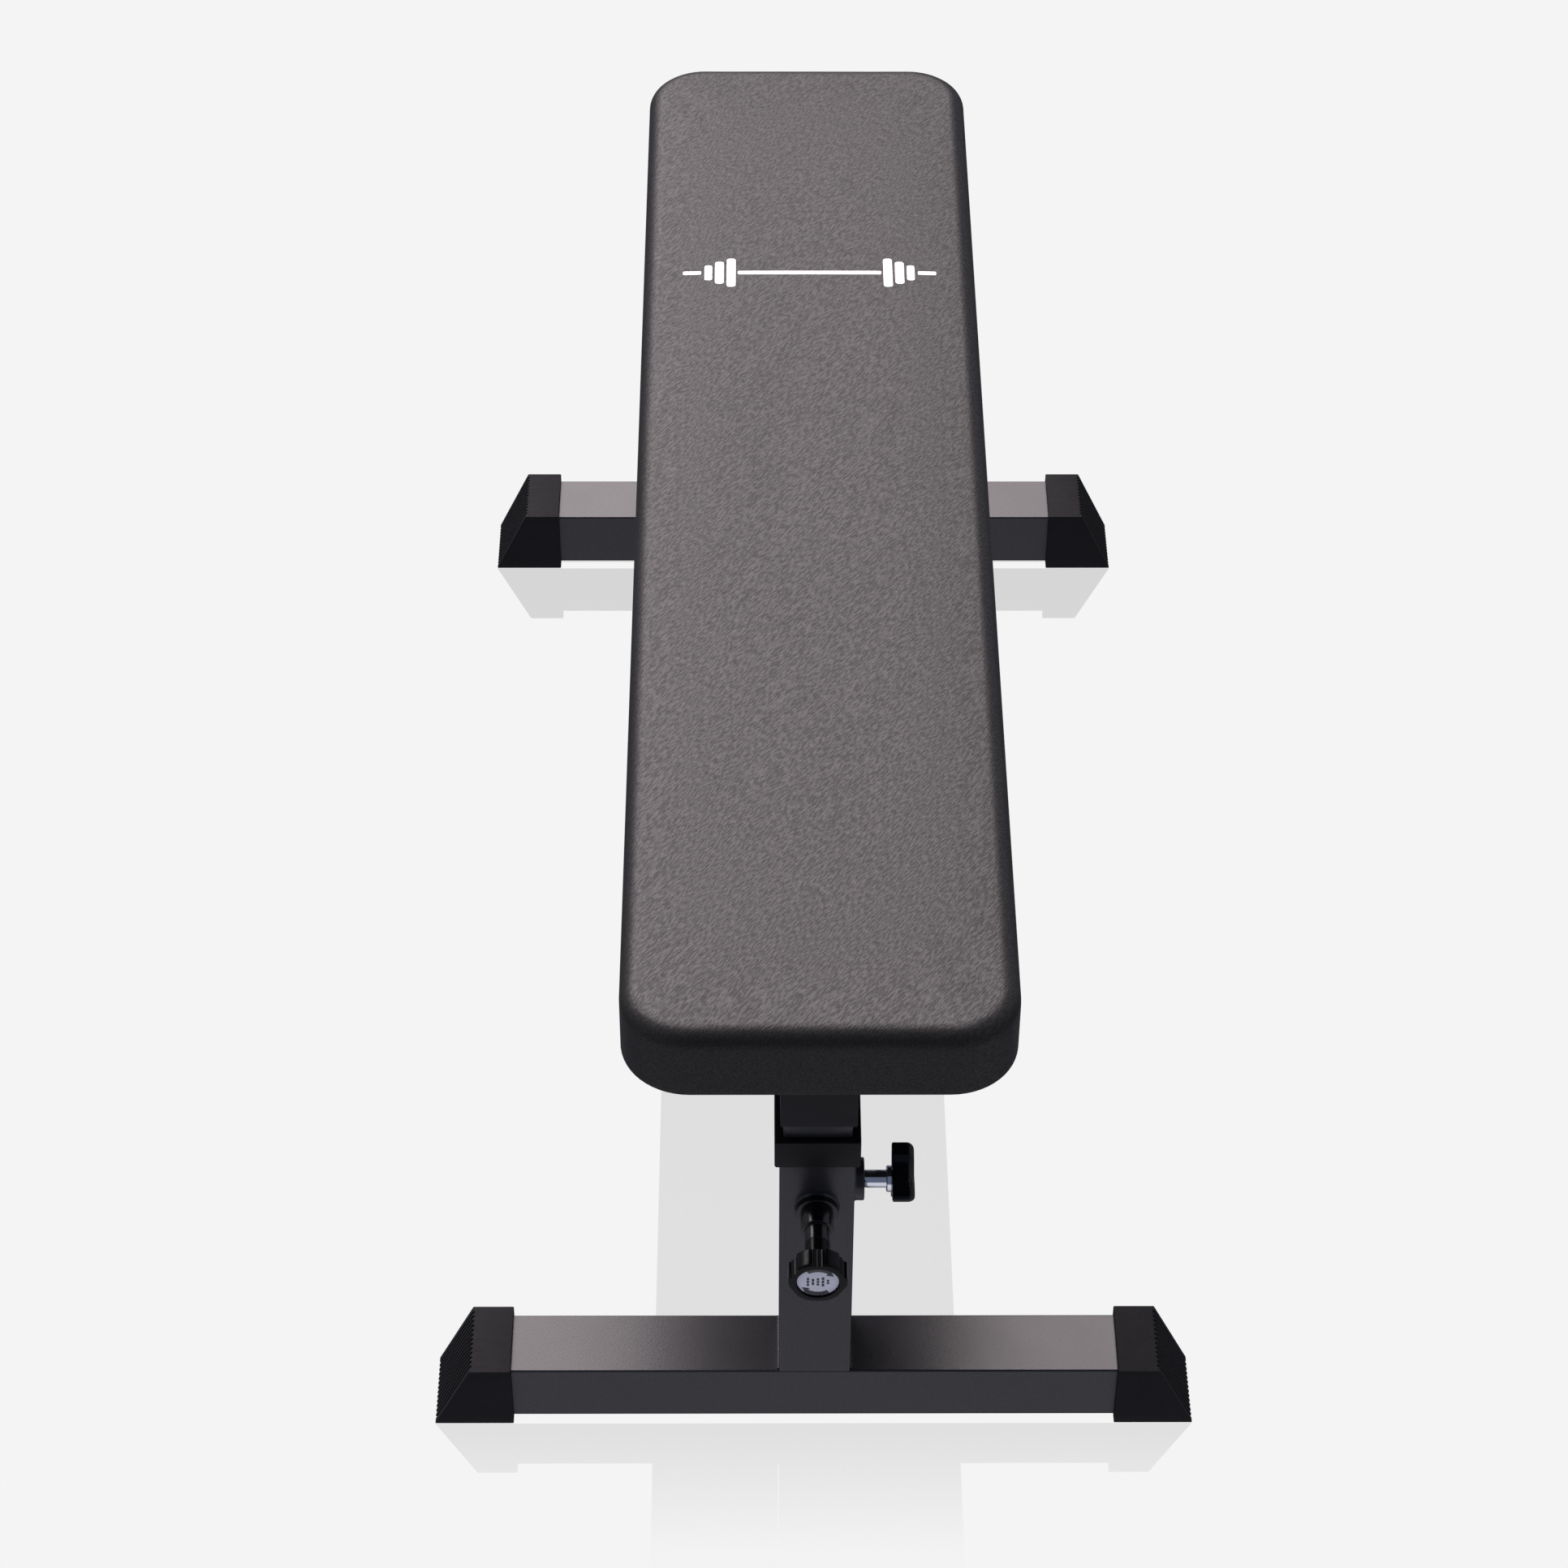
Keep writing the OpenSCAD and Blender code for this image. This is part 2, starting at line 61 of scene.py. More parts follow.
def box_mm(node):
    """A CAD node's lowest and highest corner, in millimetres."""
    low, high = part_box(node)
    return low / MM, high / MM


BAR_LOW, BAR_HIGH = box_mm("front_crossbar")
CAP_LOW, CAP_HIGH = box_mm("front_cap_right")
SLEEVE_LOW, SLEEVE_HIGH = box_mm("front_sleeve")
POST_LOW, POST_HIGH = box_mm("front_post")
BOSS_LOW, BOSS_HIGH = box_mm("front_boss")
BARREL_LOW, BARREL_HIGH = box_mm("front_barrel")
SPRING_LOW, SPRING_HIGH = box_mm("front_spring")
KNOB_LOW, KNOB_HIGH = box_mm("front_pin_knob")
LABEL_LOW, LABEL_HIGH = box_mm("front_pin_label")
NUT_LOW, NUT_HIGH = box_mm("front_clamp_nut")
SCREW_LOW, SCREW_HIGH = box_mm("front_clamp_screw")
LOBES_LOW, LOBES_HIGH = box_mm("front_clamp_knob")
BEAM_LOW, BEAM_HIGH = box_mm("main_beam")
BEAM_CAP_LOW, BEAM_CAP_HIGH = box_mm("beam_cap_front")
PAD_LOW, PAD_HIGH = box_mm("pad_cover")
BACKING_LOW, BACKING_HIGH = box_mm("pad_backing")
BACKING_INSET = PAD_HIGH.x - BACKING_HIGH.x

FACE_Y = BAR_LOW.y                       # front face of the front leg
BAR_Y = (BAR_LOW.y + BAR_HIGH.y) / 2     # middle of the front leg
PIN_Z = (BARREL_LOW.z + BARREL_HIGH.z) / 2


# ---------------------------------------------------------------- mesh tools

def make_piece(name, mesh_parts, end="front", smooth_angle=35):
    """One object from (points, faces) parts in millimetres, turned round for the rear leg."""
    bm = bmesh.new()
    for points, faces in mesh_parts:
        verts = [bm.verts.new(ENDS[end] @ Vector([c * MM for c in p])) for p in points]
        for face in faces:
            bm.faces.new([verts[i] for i in face])
    bmesh.ops.recalc_face_normals(bm, faces=bm.faces)
    for edge in bm.edges:
        if len(edge.link_faces) == 2:
            edge.smooth = edge.calc_face_angle(0) < math.radians(smooth_angle)
    for face in bm.faces:
        face.smooth = True
    mesh = bpy.data.meshes.new(name)
    bm.to_mesh(mesh)
    bm.free()
    piece = bpy.data.objects.new(name, mesh)
    bpy.context.scene.collection.objects.link(piece)
    return piece


def loft(rings, closed=False, cap_first=True, cap_last=True):
    """Skin over rings that all have the same number of points."""
    n = len(rings[0])
    points = [p for ring in rings for p in ring]
    faces = []
    last = len(rings) if closed else len(rings) - 1
    for i in range(last):
        a, b = i * n, (i + 1) % len(rings) * n
        faces += [(a + k, a + (k + 1) % n, b + (k + 1) % n, b + k) for k in range(n)]
    if not closed and cap_first:
        faces.append(tuple(range(n)))
    if not closed and cap_last:
        faces.append(tuple(range(len(points) - n, len(points))))
    return points, faces


def moved(part, turn):
    """A part with every point passed through a function."""
    return [turn(p) for p in part[0]], part[1]


def square_outline(w, h, r, steps=6):
    """Points round a rectangle with round corners, centred."""
    r = max(r, 0.05)
    points = []
    for corner, (sx, sy) in enumerate(((1, 1), (-1, 1), (-1, -1), (1, -1))):
        for i in range(steps + 1):
            a = math.radians(90 * corner + 90 * i / steps)
            points.append((sx * (w / 2 - r) + r * math.cos(a), sy * (h / 2 - r) + r * math.sin(a)))
    return points


def round_edge(a, b, r, steps=4):
    """Stations and insets of a rounded edge between a side wall at a and an end face at b."""
    sign = 1 if b > a else -1
    return [(b - sign * r * (1 - math.sin(math.radians(90 * i / steps))),
             r * (1 - math.cos(math.radians(90 * i / steps)))) for i in range(steps + 1)]


def lathe(profile, sides=64, wave=None):
    """Closed ring of (station, radius) turned about the station axis, along +Z.

    wave(angle, station, radius) returns the radius at an angle, for lobes and ribs."""
    rings = []
    for station, radius in profile:
        ring = []
        for k in range(sides):
            a = 2 * math.pi * k / sides
            r = wave(a, station, radius) if wave else radius
            ring.append((r * math.cos(a), r * math.sin(a), station))
        rings.append(ring)
    return rings


def out_of_face(p):
    """From lathe space to the pull pin: stations run out of the front face."""
    return p[0], FACE_Y - p[2], PIN_Z + p[1]


def out_of_side(p):
    """From lathe space to the clamp screw: stations are distances from the middle plane."""
    return p[2], BAR_Y + p[0], PIN_Z + p[1]


def tube_along(path, radius, sides=8, ripple=0.0, ripple_pitch=2.0):
    """Round bar along a path in millimetres, such as a weld bead or a spring."""
    rings = []
    travelled = 0.0
    up = Vector((0, 0, 1))
    for i, point in enumerate(path):
        here = Vector(point)
        ahead = Vector(path[min(i + 1, len(path) - 1)])
        behind = Vector(path[max(i - 1, 0)])
        along = (ahead - behind).normalized()
        if i:
            travelled += (here - Vector(path[i - 1])).length
        side = along.cross(up)
        if side.length < 0.1:
            side = along.cross(Vector((0, 1, 0)))
        side.normalize()
        lift = side.cross(along)
        r = radius * (1 + ripple * math.sin(2 * math.pi * travelled / ripple_pitch))
        rings.append([tuple(here + side * (r * math.cos(2 * math.pi * k / sides))
                            + lift * (r * math.sin(2 * math.pi * k / sides)))
                      for k in range(sides)])
    return loft(rings)


# ---------------------------------------------------------------- materials

class Paint:
    """A principled material with short calls for the nodes that feed it."""

    def __init__(self, name, colour, roughness, metallic=0.0, specular=0.5):
        self.material = bpy.data.materials.new(name)
        self.material.use_nodes = True
        self.tree = self.material.node_tree
        self.shader = self.tree.nodes["Principled BSDF"]
        self.set("Base Color", (*colour, 1.0))
        self.set("Roughness", roughness)
        self.set("Metallic", metallic)
        self.set("Specular IOR Level", specular)
        self.coords = self.node("ShaderNodeTexCoord").outputs["Object"]

    def node(self, kind, **settings):
        made = self.tree.nodes.new(kind)
        for key, value in settings.items():
            setattr(made, key, value)
        return made

    def set(self, name, value):
        if isinstance(value, bpy.types.NodeSocket):
            self.tree.links.new(value, self.shader.inputs[name])
        else:
            self.shader.inputs[name].default_value = value

    def feed(self, socket, value):
        if isinstance(value, bpy.types.NodeSocket):
            self.tree.links.new(value, socket)
        else:
            socket.default_value = value

    def place(self, scale=(1, 1, 1), turn=0.0):
        """Object coordinates turned about Z, then stretched along their new axes."""
        turned = self.node("ShaderNodeMapping")
        self.feed(turned.inputs["Vector"], self.coords)
        turned.inputs["Rotation"].default_value = (0, 0, turn)
        mapping = self.node("ShaderNodeMapping")
        self.feed(mapping.inputs["Vector"], turned.outputs["Vector"])
        mapping.inputs["Scale"].default_value = scale
        return mapping.outputs["Vector"]

    def along(self, axis):
        """One of the object coordinates, in metres."""
        split = self.node("ShaderNodeSeparateXYZ")
        self.feed(split.inputs[0], self.coords)
        return split.outputs[axis]

    def noise(self, scale, detail=3.0, rough=0.5, vector=None, distortion=0.0):
        made = self.node("ShaderNodeTexNoise")
        self.feed(made.inputs["Vector"], vector or self.coords)
        made.inputs["Scale"].default_value = scale
        made.inputs["Detail"].default_value = detail
        made.inputs["Roughness"].default_value = rough
        made.inputs["Distortion"].default_value = distortion
        return made.outputs["Fac"]

    def cells(self, scale, randomness=1.0):
        """Distance to the nearest of a field of points."""
        made = self.node("ShaderNodeTexVoronoi", feature="F1")
        self.feed(made.inputs["Vector"], self.coords)
        made.inputs["Scale"].default_value = scale
        made.inputs["Randomness"].default_value = randomness
        return made.outputs["Distance"]

    def span(self, value, low, high, to_low, to_high):
        """A value carried from one range to another, and held at its ends."""
        made = self.node("ShaderNodeMapRange")
        self.feed(made.inputs["Value"], value)
        for key, number in (("From Min", low), ("From Max", high),
                            ("To Min", to_low), ("To Max", to_high)):
            made.inputs[key].default_value = number
        return made.outputs["Result"]

    def sum(self, a, b, operation="ADD"):
        made = self.node("ShaderNodeMath", operation=operation)
        self.feed(made.inputs[0], a)
        self.feed(made.inputs[1], b)
        return made.outputs[0]

    def mix(self, fac, a, b):
        made = self.node("ShaderNodeMix", data_type="RGBA")
        self.feed(made.inputs["Factor"], fac)
        self.feed(made.inputs["A"], a if isinstance(a, bpy.types.NodeSocket) else (*a, 1.0))
        self.feed(made.inputs["B"], b if isinstance(b, bpy.types.NodeSocket) else (*b, 1.0))
        return made.outputs["Result"]

    def bump(self, height, distance, strength=1.0, under=None):
        made = self.node("ShaderNodeBump")
        self.feed(made.inputs["Height"], height)
        made.inputs["Distance"].default_value = distance
        made.inputs["Strength"].default_value = strength
        if under:
            self.feed(made.inputs["Normal"], under)
        return made.outputs["Normal"]


def shade(colour, factor):
    """A colour made darker or lighter."""
    return tuple(min(1.0, c * factor) for c in colour)


def powder_coat(name, colour, roughness, grain=1.0, specular=0.42):
    """Sprayed and baked coat: fine orange peel over a faint unevenness of tone."""
    paint = Paint(name, colour, roughness, specular=specular)
    drift = paint.noise(9.0, 4.0, 0.6)
    speck = paint.noise(1400.0, 2.0, 0.6)
    tone = paint.sum(paint.span(drift, 0.3, 0.7, 0.0, 0.5), paint.span(speck, 0.3, 0.7, 0.0, 0.5))
    paint.set("Base Color", paint.mix(tone, shade(colour, 0.84), shade(colour, 1.18)))
    glint = 0.07 * grain
    paint.set("Specular IOR Level", paint.span(speck, 0.35, 0.65, specular - glint, specular + glint))
    uneven = 0.012
    paint.set("Roughness", paint.span(paint.noise(25.0, 2.0, 0.5), 0.3, 0.7,
                                      roughness - uneven, roughness + uneven))
    peel = paint.noise(750.0, 2.0, 0.5)
    grit = paint.noise(1900.0, 1.0, 0.5)
    under = paint.bump(peel, 0.00006, 0.6 * grain)
    paint.set("Normal", paint.bump(grit, 0.00002, 0.5 * grain, under))
    return paint.material


def moulded(name, colour, roughness, grain, specular=0.5):
    """Injection-moulded plastic with a spark-eroded surface and handling scuffs."""
    paint = Paint(name, colour, roughness, specular=specular)
    cloud = paint.noise(14.0, 5.0, 0.6)
    scuff = paint.noise(70.0, 6.0, 0.75, vector=paint.place(scale=(1.0, 5.0, 1.0)))
    paint.set("Base Color", paint.mix(paint.span(cloud, 0.3, 0.7, 0, 1),
                                      shade(colour, 0.85), shade(colour, 1.2)))
    paint.set("Roughness", paint.span(scuff, 0.35, 0.7, roughness - 0.05, roughness + 0.07))
    pits = paint.cells(1500.0)
    under = paint.bump(pits, 0.00006, grain)
    paint.set("Normal", paint.bump(paint.noise(300.0, 3.0), 0.00005, grain * 0.6, under))
    return paint.material


def bright_metal(name, colour, roughness, brushing=(1.0, 1.0, 1.0), wear=0.06):
    """Plated or machined steel: fine tool marks one way, and patches of duller plating."""
    paint = Paint(name, colour, roughness, metallic=1.0)
    streak = paint.noise(900.0, 3.0, 0.6, vector=paint.place(scale=brushing))
    dull = paint.noise(55.0, 5.0, 0.6)
    paint.set("Roughness", paint.sum(paint.span(streak, 0.3, 0.7, roughness - 0.02, roughness + 0.03),
                                     paint.span(dull, 0.45, 0.75, 0.0, wear)))
    paint.set("Base Color", paint.mix(paint.span(dull, 0.3, 0.75, 0, 1), colour,
                                      shade(colour, 0.82)))
    paint.set("Normal", paint.bump(streak, 0.00001, 0.35))
    return paint.material


VINYL_TURN = math.radians(-52)   # the grain's creases run from front left to rear right


def vinyl_grain(paint):
    """Height of the embossed grain, 0 to 1: short slanting creases, close together."""
    slant = paint.place(scale=(0.24, 1.0, 0.7), turn=VINYL_TURN)
    folds = paint.span(paint.noise(980.0, 0.0, 0.5, vector=slant, distortion=0.15), 0.3, 0.7, 0, 0.6)
    fine = paint.noise(2000.0, 1.0, 0.5, vector=paint.place((0.35, 1.0, 1.0), VINYL_TURN))
    return paint.sum(folds, paint.span(fine, 0.3, 0.7, 0.0, 0.4))


def vinyl(name, colour, roughness):
    """Embossed upholstery vinyl, with painted shade below the pad's rounded rim and in the grain's
    creases, a painted highlight on the crests, and duller below the rim.
    """
    paint = Paint(name, colour, roughness, specular=0.25)
    height = vinyl_grain(paint)
    cloud = paint.noise(16.0, 5.0, 0.6)
    # upper is 1 on the flat top and 0 on the sides below the rim; it masks the painted shade of the
    # sides and their lower gloss.
    upper = paint.span(paint.along("Z"), (PAD_HIGH.z - 9) * MM, (PAD_HIGH.z - 1) * MM, 0.0, 1.0)
    # Painted shade: the sides below the rim and the grain's creases take this darker colour, and the
    # crests take a lighter one as a painted highlight.
    painted_shade = shade(colour, 0.6)
    tone = paint.mix(upper, painted_shade, paint.mix(height, painted_shade, shade(colour, 1.3)))
    paint.set("Base Color", paint.mix(paint.span(cloud, 0.35, 0.65, 0.0, 0.2), tone,
                                      shade(colour, 0.85)))
    paint.set("Roughness", paint.span(height, 0.1, 0.9, roughness + 0.06, roughness - 0.02))
    gloss = paint.sum(paint.span(height, 0.15, 0.85, 0.21, 0.37),
                      paint.span(upper, 0, 1, 0.6, 1.0), "MULTIPLY")
    paint.set("Specular IOR Level", gloss)
    under = paint.bump(cloud, 0.0006, 0.06)
    paint.set("Normal", paint.bump(height, 0.00012, 0.8, under))
    return paint.material


def cloth_backing(name, colour):
    """Non-woven dust cloth: pressed fibres with a grid of bonding points."""
    paint = Paint(name, colour, 0.92, specular=0.2)
    fibre = paint.noise(1400.0, 5.0, 0.75, vector=paint.place(scale=(1.0, 0.25, 1.0)), distortion=1.5)
    dots = paint.cells(330.0, randomness=0.0)
    bond = paint.span(dots, 0.12, 0.3, 0.0, 1.0)
    paint.set("Base Color", paint.mix(paint.span(fibre, 0.35, 0.7, 0, 1),
                                      shade(colour, 0.6), shade(colour, 1.5)))
    under = paint.bump(bond, 0.0003, 0.6)
    paint.set("Normal", paint.bump(fibre, 0.00012, 0.8, under))
    return paint.material


def plywood(name):
    """Raw birch plywood: long grain on the faces."""
    paint = Paint(name, (0.52, 0.34, 0.17), 0.62)
    grain = paint.noise(60.0, 6.0, 0.6, vector=paint.place(scale=(1.0, 0.05, 1.0)), distortion=0.8)
    plies = paint.noise(700.0, 1.0, 0.3, vector=paint.place(scale=(0.01, 0.01, 1.0)))
    tone = paint.sum(paint.span(grain, 0.3, 0.7, 0, 0.6), paint.span(plies, 0.4, 0.6, 0, 0.4))
    paint.set("Base Color", paint.mix(tone, (0.36, 0.21, 0.09), (0.62, 0.44, 0.24)))
    paint.set("Normal", paint.bump(grain, 0.0002, 0.4))
    return paint.material


def printed(name, colour):
    """Screen-printed ink that follows the grain below it, thinner in the creases."""
    paint = Paint(name, colour, 0.5)
    height = vinyl_grain(paint)
    paint.set("Base Color", paint.mix(paint.span(height, 0.1, 0.4, 0, 1), shade(colour, 0.75), colour))
    paint.set("Normal", paint.bump(height, 0.00008, 0.6))
    return paint.material


MATERIALS = {
    "frame_coat": powder_coat("frame coat", (0.0162, 0.0162, 0.0197), 0.28, specular=0.37),
    # The post's coat is a lighter copy of the frame's coat: painted light that offsets the shadow the
    # sleeve casts on the post.
    "post_coat": powder_coat("post coat painted lighter", (0.024, 0.024, 0.028), 0.33),
    "barrel_coat": powder_coat("barrel coat", (0.002, 0.002, 0.003), 0.20, 0.05, specular=0.38),
    "cap_plastic": moulded("cap plastic", (0.0115, 0.0115, 0.013), 0.55, 0.6, specular=0.05),
    "end_plastic": moulded("end plastic", (0.0065, 0.0065, 0.008), 0.38, 0.3, specular=0.11),
    "sleeve_plastic": moulded("sleeve plastic", (0.006, 0.006, 0.007), 0.45, 0.35, specular=0.12),
    "knob_plastic": moulded("knob plastic", (0.004, 0.004, 0.005), 0.20, 0.04, specular=0.3),
    "grip_plastic": moulded("grip plastic", (0.0028, 0.0028, 0.0034), 0.22, 0.05, specular=0.11),
    "label_print": moulded("label print", (0.55, 0.55, 0.63), 0.40, 0.1),
    "label_ink": moulded("label ink", (0.02, 0.02, 0.025), 0.45, 0.1),
    "screw_chrome": bright_metal("screw chrome", (0.80, 0.82, 0.86), 0.10, (0.05, 1.0, 1.0)),
    "pin_steel": bright_metal("pin steel", (0.56, 0.57, 0.60), 0.24, (1.0, 0.05, 1.0)),
    "tip_brass": bright_metal("tip brass", (0.70, 0.50, 0.22), 0.25),
    "zinc": bright_metal("zinc", (0.55, 0.57, 0.60), 0.34, wear=0.14),
    "vinyl_top": vinyl("vinyl", (0.014, 0.0135, 0.014), 0.42),
    "print_ink": printed("print ink", (0.80, 0.80, 0.80)),
    "backing_cloth": cloth_backing("backing cloth", (0.016, 0.016, 0.018)),
    "plywood": plywood("plywood"),
}


def finish_piece(piece, body, slot, *nodes, paint=None):
    """Gives a piece the material of its slot or of the paint named, its body, and hides the CAD nodes
    that it stands for.
    """
    piece.data.materials.clear()
    piece.data.materials.append(MATERIALS[paint or slot])
    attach(piece, body)
    if nodes:
        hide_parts(*nodes)
    return piece


# ---------------------------------------------------------------- CAD nodes that stay

def dress_cad_nodes():
    """Every CAD node takes the material of its slot."""
    for entry in frame["record"]["subparts"]:
        node = frame["nodes"][entry["node"]]
        material = MATERIALS.get(entry["material_slot"])
        if material is None:
            continue
        node.data.materials.clear()
        node.data.materials.append(material)


# ---------------------------------------------------------------- foot caps

CAP_EDGE = 0.6          # radius of the cap's edges
CAP_LEAN = 27.1         # how far the cap's end leans in over its height
GROOVE_PITCH = 4.0
GROOVE_DEPTH = 1.3
GROOVE_MARGIN = 2.0     # plain strip beside the outermost grooves
GROOVE = ((-1.1, 0), (-0.95, 0.25), (-0.8, 1), (0.8, 1), (0.95, 0.25), (1.1, 0))


def foot_cap(end, side):
    """Foot cap whose end leans in and carries ribs that run up the slope."""
    low, high = CAP_LOW, CAP_HIGH
    size = high.z - low.z
    count = int((size - 2 * GROOVE_MARGIN) / GROOVE_PITCH)
    notch = []
    for i in range(count):
        y = (i - (count - 1) / 2) * GROOVE_PITCH
        notch += [(y + across, depth) for across, depth in GROOVE]
    quarter = [(CAP_EDGE * (1 - math.cos(a)), CAP_EDGE * (1 - math.sin(a)))
               for a in (math.radians(90 * i / 4) for i in range(5))]

    def outline(z, inset):
        half = size / 2 - inset
        outer = high.x - CAP_LEAN * z / size - inset
        inner = low.x + inset
        ring = [(inner + c, half - s) for c, s in quarter]
        ring += [(outer - s, half - c) for c, s in quarter]
        ring += [(outer - depth * GROOVE_DEPTH, y) for y, depth in reversed(notch)]
        ring += [(outer - c, -half + s) for c, s in quarter]
        ring += [(inner + s, -half + c) for c, s in quarter]
        return [(side * x, BAR_Y + y, z) for x, y in ring]

    levels = [(low.z + c, s) for c, s in quarter]
    levels += [(low.z + size * k / 6, 0) for k in range(1, 6)]
    levels += [(high.z - s, c) for c, s in quarter]
    name = f"{end}_foot_cap_{'right' if side > 0 else 'left'}"
    piece = make_piece(name, [loft([outline(z, inset) for z, inset in levels])], end)
    seen_side = side if end == "front" else -side
    node = f"{end}_cap_{'right' if seen_side > 0 else 'left'}"
    finish_piece(piece, "bases", "cap_plastic", node)


# ---------------------------------------------------------------- sleeve, boss, barrel

def square_ring(size, r, z):
    """Rounded square round the leg's middle, at a height."""
    return [(x, BAR_Y + y, z) for x, y in square_outline(size, size, r)]


def guide_sleeve(end):
    """Square collar over the upright's end, with a lip that guides the post."""
    slack, lip, lead_in = 0.2, 5, 0.8
    outer = SLEEVE_HIGH.x - SLEEVE_LOW.x
    post = POST_HIGH.x - POST_LOW.x + slack
    tube = BAR_HIGH.z - BAR_LOW.z + slack
    top, bottom = SLEEVE_HIGH.z, SLEEVE_LOW.z
    r_out, r_post, r_tube = 1.9, 1.7, 1.4
    rings = [square_ring(outer - 2 * inset, r_out - inset / 2, z)
             for z, inset in reversed(round_edge(top, bottom, 0.4))]
    rings += [square_ring(outer - 2 * inset, r_out - inset / 2, z)
              for z, inset in round_edge(bottom, top, 0.8)]
    rings += [square_ring(post + 2 * lead_in, r_post, top), square_ring(post, r_post, top - lead_in),
              square_ring(post, r_post, top - lip), square_ring(tube, r_tube, top - lip),
              square_ring(tube, r_tube, bottom)]
    piece = make_piece(f"{end}_guide_sleeve", [loft(rings, closed=True)], end)
    finish_piece(piece, "bases", "sleeve_plastic", f"{end}_sleeve")


BARREL_STEP = 21.0      # station where the barrel's wide part ends
NECK_R = 8.9            # radius of the barrel's neck and of the knob's hub
CHAMBER_R = 6.7         # radius of the spring's chamber in the barrel
KNOB_HEAD = 14.5        # length of the knob's lobed head
FILLET = ((0, 1.0), (0.5, 0.75), (1.1, 0.15), (1.5, 0))   # station and rise of a small round weld
FILLET_END = 1.5


def boss(end):
    """Weld boss that the barrel stands in, with its weld."""
    r = (BOSS_HIGH.x - BOSS_LOW.x) / 2
    barrel_r = (BARREL_HIGH.x - BARREL_LOW.x) / 2
    length = BOSS_HIGH.y - BOSS_LOW.y
    outer = [(s, r + rise) for s, rise in FILLET]
    outer += [(s, r - inset) for s, inset in round_edge(FILLET_END, length, 1.1)]
    profile = outer + [(length, barrel_r), (0, barrel_r)]
    part = moved(loft(lathe(profile), closed=True), out_of_face)
    piece = make_piece(f"{end}_pin_boss", [part], end)
    finish_piece(piece, "bases", "barrel_coat", f"{end}_boss")


def barrel(end):
    """Stepped barrel with the spring's chamber, and a hole for the rod in its end."""
    r = (BARREL_HIGH.x - BARREL_LOW.x) / 2
    total = BARREL_HIGH.y - BARREL_LOW.y
    rod_r, pin_r = 4.05, 5.05
    near_wall, end_wall = 3, 2
    profile = [(0, r)] + [(s, r - inset) for s, inset in round_edge(0, BARREL_STEP, 1.2)]
    profile += [(BARREL_STEP, NECK_R + 0.4), (BARREL_STEP + 0.4, NECK_R)]
    profile += [(s, NECK_R - inset) for s, inset in round_edge(BARREL_STEP, total, 0.6)]
    profile += [(total, rod_r), (total - end_wall, rod_r), (total - end_wall, CHAMBER_R),
                (near_wall, CHAMBER_R), (near_wall, pin_r), (0, pin_r)]
    part = moved(loft(lathe(profile), closed=True), out_of_face)
    piece = make_piece(f"{end}_pin_barrel", [part], end)
    finish_piece(piece, "bases", "barrel_coat", f"{end}_barrel")


def spring(end):
    """Coil spring of the pull pin, modelled at rest."""
    turns, steps, wire_r = 6, 24, 0.7
    radius = (SPRING_HIGH.x - SPRING_LOW.x) / 2 - wire_r
    near, far = SPRING_HIGH.y - wire_r, SPRING_LOW.y + wire_r
    path = []
    for i in range(turns * steps + 1):
        a = 2 * math.pi * i / steps
        path.append((radius * math.cos(a), near + (far - near) * i / (turns * steps),
                     PIN_Z + radius * math.sin(a)))
    piece = make_piece(f"{end}_pin_spring", [tube_along(path, wire_r, 10)], end, 60)
    finish_piece(piece, "bases", "pin_steel", f"{end}_spring")
    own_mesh(piece)


# ---------------------------------------------------------------- pull knob

def pull_knob(end):
    """Six smooth lobes with a ribbed hollow between each pair, a hub, and a dished face."""
    r = (KNOB_HIGH.x - KNOB_LOW.x) / 2
    end_station = FACE_Y - KNOB_LOW.y
    start = FACE_Y - KNOB_HIGH.y
    head = end_station - KNOB_HEAD
    lobe_step = math.pi / 3
    hollow = math.radians(31)
    hollow_depth, rib, blend = 1.8, 0.4, math.radians(3.5)
    rod_r, face_r, recess = 4.0, 14.35, 2.1

    def grip(angle, station, radius):
        away = (angle - math.radians(90)) % lobe_step
        away = min(away, lobe_step - away)
        ribbed = r - hollow_depth + rib * math.cos(2 * math.pi * away / (hollow / 3))
        rise = min(1.0, max(0.0, (away - hollow / 2) / blend + 1))
        return min(radius, ribbed + (r - ribbed) * rise * rise * (3 - 2 * rise))

    profile = [(start, rod_r), (start, NECK_R - 0.3), (start + 0.3, NECK_R), (head - 0.6, NECK_R),
               (head - 0.1, NECK_R + 0.5), (head, r - 3.0)]
    profile += [(s, r - inset) for s, inset in reversed(round_edge(end_station, head, 0.9))]
    profile += [(head + KNOB_HEAD * k / 6, r) for k in range(1, 5)]
    profile += [(s, r - inset) for s, inset in round_edge(head, end_station, 2.0, 6)]
    profile += [(end_station, face_r + 0.35), (end_station - 0.25, face_r + 0.05),
                (end_station - recess, face_r), (end_station - recess, rod_r)]
    part = moved(loft(lathe(profile, 360, grip), closed=True), out_of_face)
    piece = make_piece(f"{end}_pull_knob", [part], end, 32)
    finish_piece(piece, f"{end}_pin", "knob_plastic", f"{end}_pin_knob", paint="grip_plastic")


def flat_shape(points, station, height):
    """Thin raised print on the knob's face from points (x, up), in millimetres."""
    lower = [(x, y, station) for x, y in points]
    upper = [(x, y, station + height) for x, y in points]
    return moved(loft([lower, upper]), out_of_face)


def polar(r, angle):
    """Point at a radius and an angle."""
    return r * math.cos(angle), r * math.sin(angle)


